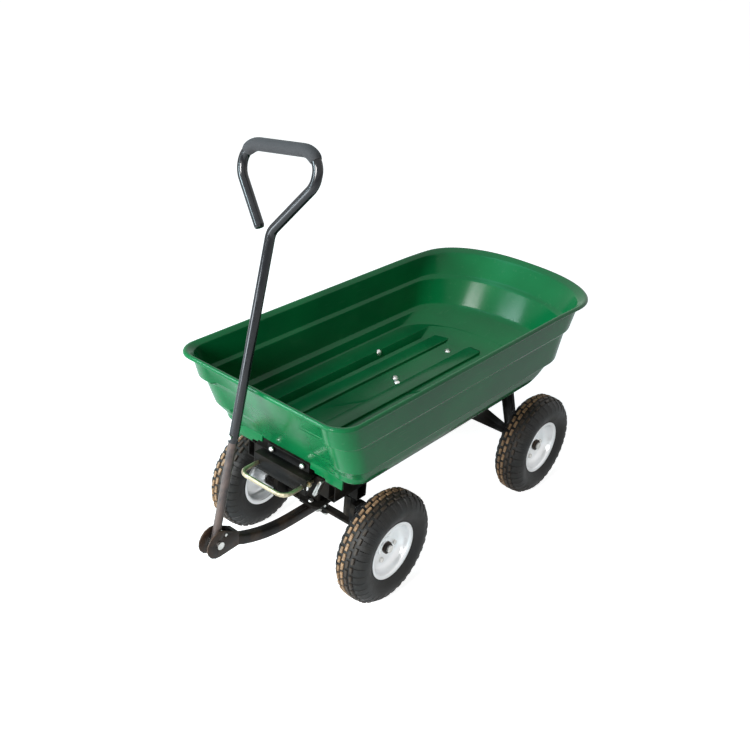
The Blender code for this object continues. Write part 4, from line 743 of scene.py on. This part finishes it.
def half_round(centre, start):
    """Half a circle round one end of the lug, from a first angle."""
    turns = [start + pi * k / 8 for k in range(9)]
    return [(centre.x + LUG_HALF * cos(turn), centre.y + LUG_HALF * sin(turn)) for turn in turns]


capsule = half_round(LUG_FOOT, slant + pi / 2) + half_round(LUG_TOP, slant - pi / 2)
lug = upright_plate("latch_lug", capsule, *LUG_DEPTHS, LUG_EDGE, "chassis", "zinc_plate")
print(lug.name, "leans", round(90 - slant * 180 / pi, 1), "degrees")

# %% [markdown]
# ## Repeat a piece round an axle
# Tread blocks, shoulder lugs and rim bolts repeat in equal steps round a wheel. Copies could be
# made in a loop, but a Geometry Nodes tree does it for any piece and any count: one piece stands at
# the top of the wheel, and copies of it are turned round the axle and made real.

# %% Build the tree of copies
TREE = bpy.data.node_groups.new("copies_round_axle", "GeometryNodeTree")
for name, kind in (("Piece", "Object"), ("Count", "Int"), ("First Turn", "Float"),
                   ("Finish", "Material")):
    TREE.interface.new_socket(name, in_out="INPUT", socket_type="NodeSocket" + kind)
TREE.interface.new_socket("Geometry", in_out="OUTPUT", socket_type="NodeSocketGeometry")
given = add_node(TREE, "NodeGroupInput").outputs
points = add_node(TREE, "GeometryNodePoints", {"Count": given["Count"]})
index = add_node(TREE, "GeometryNodeInputIndex")
share = add_node(TREE, "ShaderNodeMath", {0: index.outputs[0], 1: given["Count"]},
                 operation="DIVIDE")
turn = add_node(TREE, "ShaderNodeMath", {0: share.outputs[0], 1: 2 * pi,
                                         2: given["First Turn"]}, operation="MULTIPLY_ADD")
rotation = add_node(TREE, "ShaderNodeCombineXYZ", {"X": turn.outputs[0]})
info = add_node(TREE, "GeometryNodeObjectInfo", {"Object": given["Piece"]},
                transform_space="ORIGINAL")
copies = add_node(TREE, "GeometryNodeInstanceOnPoints", {
    "Points": points.outputs[0], "Instance": info.outputs["Geometry"],
    "Rotation": rotation.outputs[0]})
real = add_node(TREE, "GeometryNodeRealizeInstances", {"Geometry": copies.outputs[0]})
finished = add_node(TREE, "GeometryNodeSetMaterial", {"Geometry": real.outputs[0],
                                                      "Material": given["Finish"]})
add_node(TREE, "NodeGroupOutput", {"Geometry": finished.outputs[0]})
print("the tree has", len(TREE.nodes), "nodes")

# %% Define the copies and the joining
def copies_round_axle(name, piece, count, first_turn, finish):
    """A plain mesh of copies of a piece round the X axis through the origin."""
    holder = bpy.data.objects.new(name, bpy.data.meshes.new(name))
    bpy.context.scene.collection.objects.link(holder)
    modifier = holder.modifiers.new("ring", "NODES")
    modifier.node_group = TREE
    values = {"Piece": piece, "Count": count, "First Turn": first_turn, "Finish": finish}
    for item in TREE.interface.items_tree:
        if item.in_out == "INPUT":
            modifier[item.identifier] = values[item.name]
    bpy.context.view_layer.update()
    evaluated = holder.evaluated_get(bpy.context.evaluated_depsgraph_get())
    mesh = bpy.data.meshes.new_from_object(evaluated)
    bpy.data.objects.remove(holder)
    return mesh


def joined(name, meshes, place, smooth_to):
    """Several meshes as one object, with the origin of their drawing moved to a place."""
    shape = bmesh.new()
    for mesh in meshes:
        shape.from_mesh(mesh)
    bmesh.ops.translate(shape, verts=shape.verts, vec=Vector(place))
    return mesh_object(name, shape, smooth_to)


# %% [markdown]
# ## Tyres
# The tyre is a round rubber carcass with four staggered rows of small blocks and, on each shoulder,
# a row of longer lugs. The carcass is turned on a lathe from half a section. The tread is real
# geometry and not a bump, because it shows against the light along the tyre's outline.

# %% Define the tyre's carcass
HALF_TYRE = 0.039
CARCASS = 0.1255
BEAD = 0.0690
BEAD_LIP = BEAD - 0.003
TYRE_ROUND = 0.006
TYRE_SIDES = 96


def tyre_section():
    """Half of the outer section from the crown's middle to the bead: (radius, reach)."""
    points = [(CARCASS, 0.0), (CARCASS - 0.0008, 0.011), (CARCASS - 0.0055, 0.0235),
              (0.1130, 0.0335), (0.0980, HALF_TYRE), (0.0850, 0.0368), (0.0745, 0.0305),
              (BEAD, 0.0272), (BEAD_LIP, 0.0262)]
    return rounded(points, TYRE_ROUND, 3)


def carcass():
    """The tyre's body with its open inside."""
    outside = tyre_section()
    inside = [(BEAD_LIP, 0.020), (0.095, 0.031), (0.118, 0.020), (0.120, 0.0)]
    profile = outside + inside
    profile += [(radius, -reach) for radius, reach in reversed(inside[:-1])]
    profile += [(radius, -reach) for radius, reach in reversed(outside[1:])]
    return skin(lathe(profile, TYRE_SIDES, (0, 0, 0)), closed=True)


print("the section has", len(tyre_section()), "points")

# %% Define the blocks and the lugs
CROWN_FALL = 0.12  # how far the crown falls for each metre to the side
BLOCK_SINK = 0.0025
BLOCK_EDGE = 0.0008
SHOULDER = (0.0205, 0.0392)  # where the lugs start and stop, to the side
SHOULDER_FOOT = 0.098
SECTION_MIDDLE = (0.012, 0.085)
SHOULDER_RISE, SHOULDER_LEAST, SHOULDER_SINK = 0.0022, 0.0001, 0.001
SHOULDER_HALF, SHOULDER_NARROWING = 0.0062, 0.0022
# height, share of the size
BLOCK_TAPER = [(CARCASS - BLOCK_SINK, 1.0), (TYRE_RADIUS - BLOCK_EDGE, 0.86), (TYRE_RADIUS, 0.70)]


def tread_block(name, reach, width, length):
    """A tapered block that stands on the crown at the top of the wheel."""
    rings = []
    for height, grow in BLOCK_TAPER:
        a, b = width / 2 * grow, length / 2 * (0.8 + 0.2 * grow)
        corners = rounded([(-a, -b), (a, -b), (a, b), (-a, b)], min(a, b) * 0.4, 2, closed=True)
        rings.append([Vector((reach + x, y, height - abs(reach) * CROWN_FALL))
                      for x, y in corners])
    return new_piece(name, skin(rings), 30)


def shoulder_lug(name, side):
    """A lug that follows the section from the crown's edge down the sidewall and fades out."""
    line = [(radius, reach) for radius, reach in tyre_section()
            if SHOULDER[0] < reach < SHOULDER[1] and radius > SHOULDER_FOOT]
    rings = []
    for i, (radius, reach) in enumerate(line):
        share = i / (len(line) - 1)
        rise = SHOULDER_RISE * (1 - share) ** 0.7 + SHOULDER_LEAST
        half = SHOULDER_HALF - SHOULDER_NARROWING * share
        out = Vector((reach - SECTION_MIDDLE[0], 0, radius - SECTION_MIDDLE[1])).normalized()
        ring = [(-half, -SHOULDER_SINK), (-half * 0.8, rise), (half * 0.8, rise),
                (half, -SHOULDER_SINK)]
        rings.append([Vector((side * (reach + out.x * h), y, radius + out.z * h))
                      for y, h in ring])
    return new_piece(name, skin(rings), 40)


# %% Repeat the tread
BLOCKS = 36
STEP = 2 * pi / BLOCKS
# a row's place to the side, a block's width and length, and the row's shift in steps
BLOCK_ROWS = [(-0.0165, 0.0070, 0.0150, 0.0), (-0.0055, 0.0078, 0.0165, 0.5),
              (0.0055, 0.0078, 0.0165, 0.0), (0.0165, 0.0070, 0.0150, 0.5)]
LUG_ROWS = [(-1, 0.0), (1, 0.5)]

drawn = [new_piece("carcass", carcass(), 40)]
tyre_meshes = [drawn[0].data]
for i, (reach, width, length, shift) in enumerate(BLOCK_ROWS):
    drawn.append(tread_block(f"block_{i}", reach, width, length))
    tyre_meshes.append(copies_round_axle(f"row_{i}", drawn[-1], BLOCKS, shift * STEP, RUBBER))
for side, shift in LUG_ROWS:
    drawn.append(shoulder_lug("lug", side))
    tyre_meshes.append(copies_round_axle("lugs", drawn[-1], BLOCKS, shift * STEP, RUBBER))
print("a tyre is joined from", len(tyre_meshes), "meshes")

# %% [markdown]
# ## Dust, a painted highlight and the four tyres
# Dust lies on top of the blocks. Far more of it lies on the half of the crown that faces the cart's
# left, and that extra is a painted highlight. A number on every vertex says how much, because the
# finish can then tell a block from a groove.

# %% Make the four tyres
DUST_RADIUS = 0.1265
DUST_RISE = 0.0015
HIGHLIGHT_BORDER = 0.003
HIGHLIGHT_FADE = 0.005
UNLIT_HALF_SHARE = 0.1


def add_dust_and_highlight(mesh, place):
    """Dust on the tread's raised parts, with a painted highlight: much less on the half that faces
    the cart's right.
    """
    layer = mesh.attributes.new("dust", "FLOAT", "POINT")
    for value, vertex in zip(layer.data, mesh.vertices):
        reach = vertex.co.x - place.x
        radius = sqrt((vertex.co.y - place.y) ** 2 + (vertex.co.z - place.z) ** 2)
        over = radius + abs(reach) * CROWN_FALL - DUST_RADIUS
        high = min(1.0, max(0.0, over / DUST_RISE))
        # painted highlight: full brown on the crown's left half, only a small share on its right
        # half
        value.value = high * min(1.0, max(UNLIT_HALF_SHARE, (HIGHLIGHT_BORDER - reach) / HIGHLIGHT_FADE))


for name, place in WHEELS.items():
    tyre = joined("tread_tyre_" + name, tyre_meshes, place, 35)
    add_dust_and_highlight(tyre.data, place)
    settle(tyre, "tyre_" + name)
for piece in drawn:
    bpy.data.objects.remove(piece)
print("tyre", len(tyre.data.polygons), "faces")

# %% [markdown]
# ## Axle nuts
# A hexagon nut holds each wheel, and the axle's bright end stands out of it. The nut's black is
# painted shade for the dark shaded flats of the nut. A plain prism would have knife edges, so the
# nut gets a chamfered face and a small bevel.

# %% Add the axle nuts
NUT_ACROSS = 0.0240
CHAMFER = 0.0012
CHAMFER_SHARE = 0.86
HEX_EDGE = 0.0004
HEX_ANGLE = 20
AXLE_RADIUS = 0.0083
# radius, reach from the nut's face
AXLE_END = [(AXLE_RADIUS, -0.001), (AXLE_RADIUS, 0.0042), (0.0074, 0.0050)]


def hex_head(across, low, high):
    """A hexagon nut or head along X, drawn at the origin, with its chamfered face at high."""
    corner = across / sqrt(3)
    profile = [(corner, low), (corner, high - copysign(CHAMFER, high - low)),
               (corner * CHAMFER_SHARE, high)]
    shape = skin(lathe(profile, 6, (0, 0, 0)))
    bmesh.ops.recalc_face_normals(shape, faces=shape.faces)
    blunt(shape, HEX_EDGE, HEX_ANGLE)
    return shape


def axle_nut(node, side, place):
    """A nut in the place of the CAD nut, and the axle's end in front of it."""
    low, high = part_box(node)
    start, stop = (low.x, high.x) if side > 0 else (high.x, low.x)
    nut = hex_head(NUT_ACROSS, start, stop)
    bmesh.ops.translate(nut, verts=nut.verts, vec=Vector((0, place.y, place.z)))
    # painted shade: the nut is black to stand for its shaded flats
    settle(new_piece("hex_" + node, nut, 30), node, CLEVIS_PAINT)
    end = [(radius, stop + side * reach) for radius, reach in AXLE_END]
    cap = new_piece("axle_end_" + node, skin(lathe(end, HEAD_SIDES, (0, place.y, place.z))), 30)
    add_on(cap, BODY_OF[node], "zinc_plate")


for name, place in WHEELS.items():
    end, hand = name.split("_")
    node = ("spindle_nut_" if end == "front" else "rear_axle_nut_") + hand
    axle_nut(node, SIDE_OF[name], place)
    print("nut and axle end for", node)

# %% [markdown]
# ## Rims, hubs and rim bolts
# Each rim is two white pressings bolted together at their discs. The outer one is a deep bowl with
# a rolled flange, and four zinc bolts and the hub's collar sit in it. All but the bolts are round
# and closed sections on a lathe, so a sheet has its true thickness.

# %% Define the rim's section
RIM_FACE = 0.0262
SHEET = 0.0025
FLANGE = 0.0675
DISC = 0.0015
DISC_GAP = 0.0003
HUB_RADIUS = 0.0165
HUB_HOLE = HUB_RADIUS + 0.0004


def rim_section(disc):
    """The pressing's section from the flange in to the hub and back: (radius, reach)."""
    face = disc + SHEET
    # radius, reach, rounding
    corners = [
        (FLANGE, RIM_FACE + 0.0005, 0.001), (FLANGE, RIM_FACE + SHEET, 0.001),
        (0.0612, RIM_FACE + SHEET, 0.003), (0.0572, RIM_FACE - 0.0005, 0.004),
        (0.0545, disc + 0.011, 0.005), (0.0475, face, 0.008), (HUB_HOLE, face, 0),
        (HUB_HOLE, disc, 0), (0.0485, disc, 0.008), (0.0570, disc + 0.010, 0.004),
        (0.0590, RIM_FACE, 0.002), (0.0625, RIM_FACE, 0),
    ]
    return rounded([corner[:2] for corner in corners], [corner[2] for corner in corners],
                   closed=True)


def turned_piece(name, profile, sides, place, side):
    """A lathe piece round the axle; its reach counts outwards on either side of the cart."""
    rings = lathe([(radius, side * reach) for radius, reach in profile], sides, place)
    return new_piece(name, skin(rings, closed=True))


print("the rim's section has", len(rim_section(DISC)), "points")

# %% Make the rims, the hubs and their bolts
RIM_SIDES = 72
HUB_SIDES = 32
HUB_BACK = -0.035
HUB_REACH = 0.0085
COLLAR = 0.0215
COLLAR_FOOT = DISC + SHEET + 0.0003
HUB = rounded([(AXLE_RADIUS, HUB_BACK), (HUB_RADIUS, HUB_BACK), (HUB_RADIUS, COLLAR_FOOT),
               (COLLAR, COLLAR_FOOT), (COLLAR, DISC + 2 * SHEET),
               (0.0155, DISC + 2 * SHEET + 0.0006), (0.0148, HUB_REACH),
               (AXLE_RADIUS, HUB_REACH)], 0.0006, 2, closed=True)
RIM_BOLTS = 4
RIM_BOLT_ACROSS = 0.0105
RIM_BOLT_RISE = 0.0045
RIM_BOLT_CIRCLE = 0.034
RIM_BOLT_TURN = radians(-12)


def rim_bolts(name, side, place):
    """Hexagon heads in a circle on the outer disc."""
    head = new_piece("rim_bolt", hex_head(RIM_BOLT_ACROSS, 0, RIM_BOLT_RISE), 30)
    shift = Matrix.Translation((side * (DISC + SHEET), 0, RIM_BOLT_CIRCLE))
    if side < 0:
        shift = shift @ Matrix.Rotation(pi, 4, "Z")
    head.data.transform(shift)
    ring = copies_round_axle("rim_bolts", head, RIM_BOLTS, RIM_BOLT_TURN * side, ZINC)
    bpy.data.objects.remove(head)
    return joined("rim_bolts_" + name, [ring], place, 30)


for name, place in WHEELS.items():
    side = SIDE_OF[name]
    outer = turned_piece("rim_front_" + name, rim_section(DISC), RIM_SIDES, place, side)
    settle(outer, "rim_outer_" + name)
    inner = rim_section(DISC_GAP - DISC)
    settle(turned_piece("rim_back_" + name, inner, RIM_SIDES, place, -side), "rim_inner_" + name)
    hub = turned_piece("hub_barrel_" + name, HUB, HUB_SIDES, place, side)
    settle(hub, "hub_" + name, RIM_PAINT)
    bolts = add_on(rim_bolts(name, side, place), "wheel_" + name, "zinc_plate")
    print(outer.name, hub.name, bolts.name)

# %% [markdown]
# ## Handle
# The handle is two steel tubes, one in the other. The upper one is bent in one plane into an open
# loop. A curve with a bevel gives such a tube at once, but its radius wobbles in tight bends, so
# the bends are drawn as true arcs and rings stand square to the route.

# %% Draw the handle's route
PIVOT = Vector((0, middle("handle_pivot_bolt").y, middle("handle_pivot_bolt").z))
LEAN = radians(12)
UP_HANDLE = Vector((0, sin(LEAN), cos(LEAN)))
FRONT_TO_BACK = Vector((0, cos(LEAN), -sin(LEAN)))
JOINT = 0.232
OVERLAP = 0.012
BEND = 0.637
BEND_STEPS = 12
# the loop's corners: to the side, and up from the first bend
LOOP = [(0.0, 0.0), (0.081, 0.105), (0.081, 0.163), (-0.099, 0.138), (-0.097, 0.086),
        (-0.031, 0.003)]
LOOP_RADII = [0.034, 0.042, 0.034, 0.040, 0.042]


def on_handle(x, along):
    """A point in the plane of the handle."""
    return PIVOT + Vector((x, 0, 0)) + UP_HANDLE * along


def bend_points(before, corner, after, radius):
    """Points on the true arc that rounds a corner."""
    a = (Vector(before) - Vector(corner)).normalized()
    b = (Vector(after) - Vector(corner)).normalized()
    half = a.angle(b) / 2
    centre = Vector(corner) + (a + b).normalized() * radius / sin(half)
    first = Vector(corner) + a * radius / tan(half) - centre
    last = Vector(corner) + b * radius / tan(half) - centre
    sweep = first.angle(last)
    shares = [k / BEND_STEPS for k in range(BEND_STEPS + 1)]
    return [centre + (first * sin((1 - share) * sweep) + last * sin(share * sweep)) / sin(sweep)
            for share in shares]


stops = [(0.0, JOINT - OVERLAP)] + [(x, BEND + rise) for x, rise in LOOP]
route = [Vector(stops[0])]
bends = []
for i, radius in enumerate(LOOP_RADII):
    bends.append(len(route))
    route += bend_points(stops[i], stops[i + 1], stops[i + 2], radius)
route.append(Vector(stops[-1]))
path = [on_handle(point.x, point.y) for point in route]
print("the loop has", len(path), "points, and its bends start at", bends)

# %% Make the two tubes
LOWER = 0.0086
LOWER_SHEET = 0.0012
UPPER = 0.0097
TUBE_GAP = 0.0003
TUBE_SIDES = 28


def tube_rings(path, radii):
    """Rings square to a path in the handle's plane."""
    rings = []
    for i, point in enumerate(path):
        ahead = path[min(i + 1, len(path) - 1)] - path[max(i - 1, 0)]
        across = ahead.normalized().cross(FRONT_TO_BACK)
        radius = radii[i] if isinstance(radii, list) else radii
        turns = [2 * pi * k / TUBE_SIDES for k in range(TUBE_SIDES)]
        rings.append([point + radius * (cos(t) * FRONT_TO_BACK + sin(t) * across) for t in turns])
    return rings


def open_tube(name, path, outer, inner, smooth_to=50):
    """A tube with a bore along a path."""
    rings = tube_rings(path, outer) + tube_rings(path, inner)[::-1]
    return new_piece(name, skin(rings, closed=True), smooth_to)


upper_tube = open_tube("upper_tube", path, UPPER, LOWER + TUBE_GAP)
settle(upper_tube, "handle_upper_tube")
low_path = [on_handle(0, along) for along in (-0.002, JOINT + OVERLAP)]
lower_tube = open_tube("lower_tube", low_path, LOWER, LOWER - LOWER_SHEET)
settle(lower_tube, "handle_lower_tube", LOWER_PAINT)
print("tubes", len(upper_tube.data.polygons), "and", len(lower_tube.data.polygons), "faces")

# %% [markdown]
# ## Foam grip
# A foam sleeve covers the loop's top bar and runs a little into both bends. It is drawn on the
# tube's own route, and it narrows at its cut ends.

# %% Make the foam grip
GRIP = UPPER + 0.0027
GRIP_GAP = 0.0002
GRIP_FIRST = bends[2] + 5
GRIP_LAST = bends[3] + 7

grip_path = path[GRIP_FIRST:GRIP_LAST + 1]
grip_radii = [GRIP] * len(grip_path)
for i, share in ((0, 0.86), (-1, 0.86), (1, 0.97), (-2, 0.97)):
    grip_radii[i] = GRIP * share
grip = open_tube("grip_sleeve", grip_path, grip_radii, UPPER + GRIP_GAP, 60)
settle(grip, "foam_grip")
print("the grip runs over", len(grip_path), "points of the loop")

# %% [markdown]
# ## White surroundings
# The cart stands in a white studio. A white world would light the inside of the tub as much as the
# outside and flatten it. So the camera and glossy surfaces see white, while all other rays get only
# a tenth of it, and the shading is left to the lamps.

# %% Set up the surroundings
AMBIENT = 0.10


def seen_directly(tree):
    """1 for the camera's rays and for those that glossy or clear surfaces send out, else 0."""
    rays = add_node(tree, "ShaderNodeLightPath").outputs
    seen = rays["Is Camera Ray"]
    for name in ("Is Glossy Ray", "Is Transmission Ray"):
        seen = add_node(tree, "ShaderNodeMath", {0: seen, 1: rays[name]},
                        operation="MAXIMUM").outputs[0]
    return seen


world = bpy.data.worlds.new("studio")
bpy.context.scene.world = world
world.use_nodes = True
tree = world.node_tree
level = add_node(tree, "ShaderNodeMapRange", {"Value": seen_directly(tree),
                                              "To Min": AMBIENT, "To Max": 1.0})
fill(tree, tree.nodes["Background"], {"Color": (1, 1, 1, 1), "Strength": level.outputs[0]})
print("world", world.name)

# %% [markdown]
# ## Floor
# The floor is plain and pale, and nearly white to the camera while it still takes a soft shadow.
# It glows a little for that. Glossy surfaces see half of the glow, or the tub's underside would
# look milky at flat angles, and no other ray sees any.

# %% Set up the floor
FLOOR_HALF = 30.0
FLOOR_DROP = 0.0005
FLOOR_GLOW = 0.90

mesh = bpy.data.meshes.new("floor")
corners = [(-1, -1), (1, -1), (1, 1), (-1, 1)]
mesh.from_pydata([(FLOOR_HALF * x, FLOOR_HALF * y, 0) for x, y in corners], [], [(0, 1, 2, 3)])
floor = bpy.data.objects.new("floor", mesh)
floor.location.z = -FLOOR_DROP
bpy.context.scene.collection.objects.link(floor)
finish = Finish("floor_pale")
camera_ray = finish.add("ShaderNodeLightPath").outputs["Is Camera Ray"]
shared = finish.times(seen_directly(finish.tree), FLOOR_GLOW / 2)
mesh.materials.append(finish.shade(
    Base_Color=(0.80, 0.80, 0.80, 1), Roughness=0.9, Specular_IOR_Level=0.1,
    Emission_Color=(1, 1, 1, 1),
    Emission_Strength=finish.maths("MULTIPLY_ADD", camera_ray, FLOOR_GLOW / 2, shared)))
print(floor.name, 2 * FLOOR_HALF, "m wide")

# %% [markdown]
# ## Lamps
# A broad white lamp in front gives the shading: a bright front wall and tail, and a dark wall on
# the side away from the camera. A bluish lamp overhead cools the rim, the glint from the front left
# makes the streaks in the tail, and the horizon, low and wide, lights the wheels and the steel.

# %% Set up the lamps
CENTRE = Vector((0, 0, 0.35))
# place from the centre, width, height, watts, colour
LAMPS = {
    "key": ((0.35, -3.55, 1.35), 1.1, 1.1, 120, (1.0, 1.0, 1.0)),
    "sky": ((-0.9, -1.0, 3.2), 2.0, 2.0, 34, (0.42, 0.86, 1.0)),
    "glint": ((-2.1, -3.2, 1.15), 1.0, 1.0, 80, (0.72, 0.92, 1.0)),
    "horizon": ((-1.3, -3.2, -0.05), 1.3, 0.5, 24, (0.84, 0.92, 1.0)),
}


def lamp(name, offset, width, height, watts, colour):
    """An area lamp that looks at the cart's centre."""
    data = bpy.data.lights.new(name, "AREA")
    data.size = width
    if height != width:
        data.shape = "RECTANGLE"
        data.size_y = height
    data.energy = watts
    data.color = colour
    piece = bpy.data.objects.new(name, data)
    bpy.context.scene.collection.objects.link(piece)
    piece.location = CENTRE + Vector(offset)
    piece.rotation_euler = (CENTRE - piece.location).to_track_quat("-Z", "Y").to_euler()


for name, values in LAMPS.items():
    lamp(name, *values)
bpy.context.scene.view_settings.view_transform = "Standard"
print("lamps", list(LAMPS))

# %% [markdown]
# ## The end
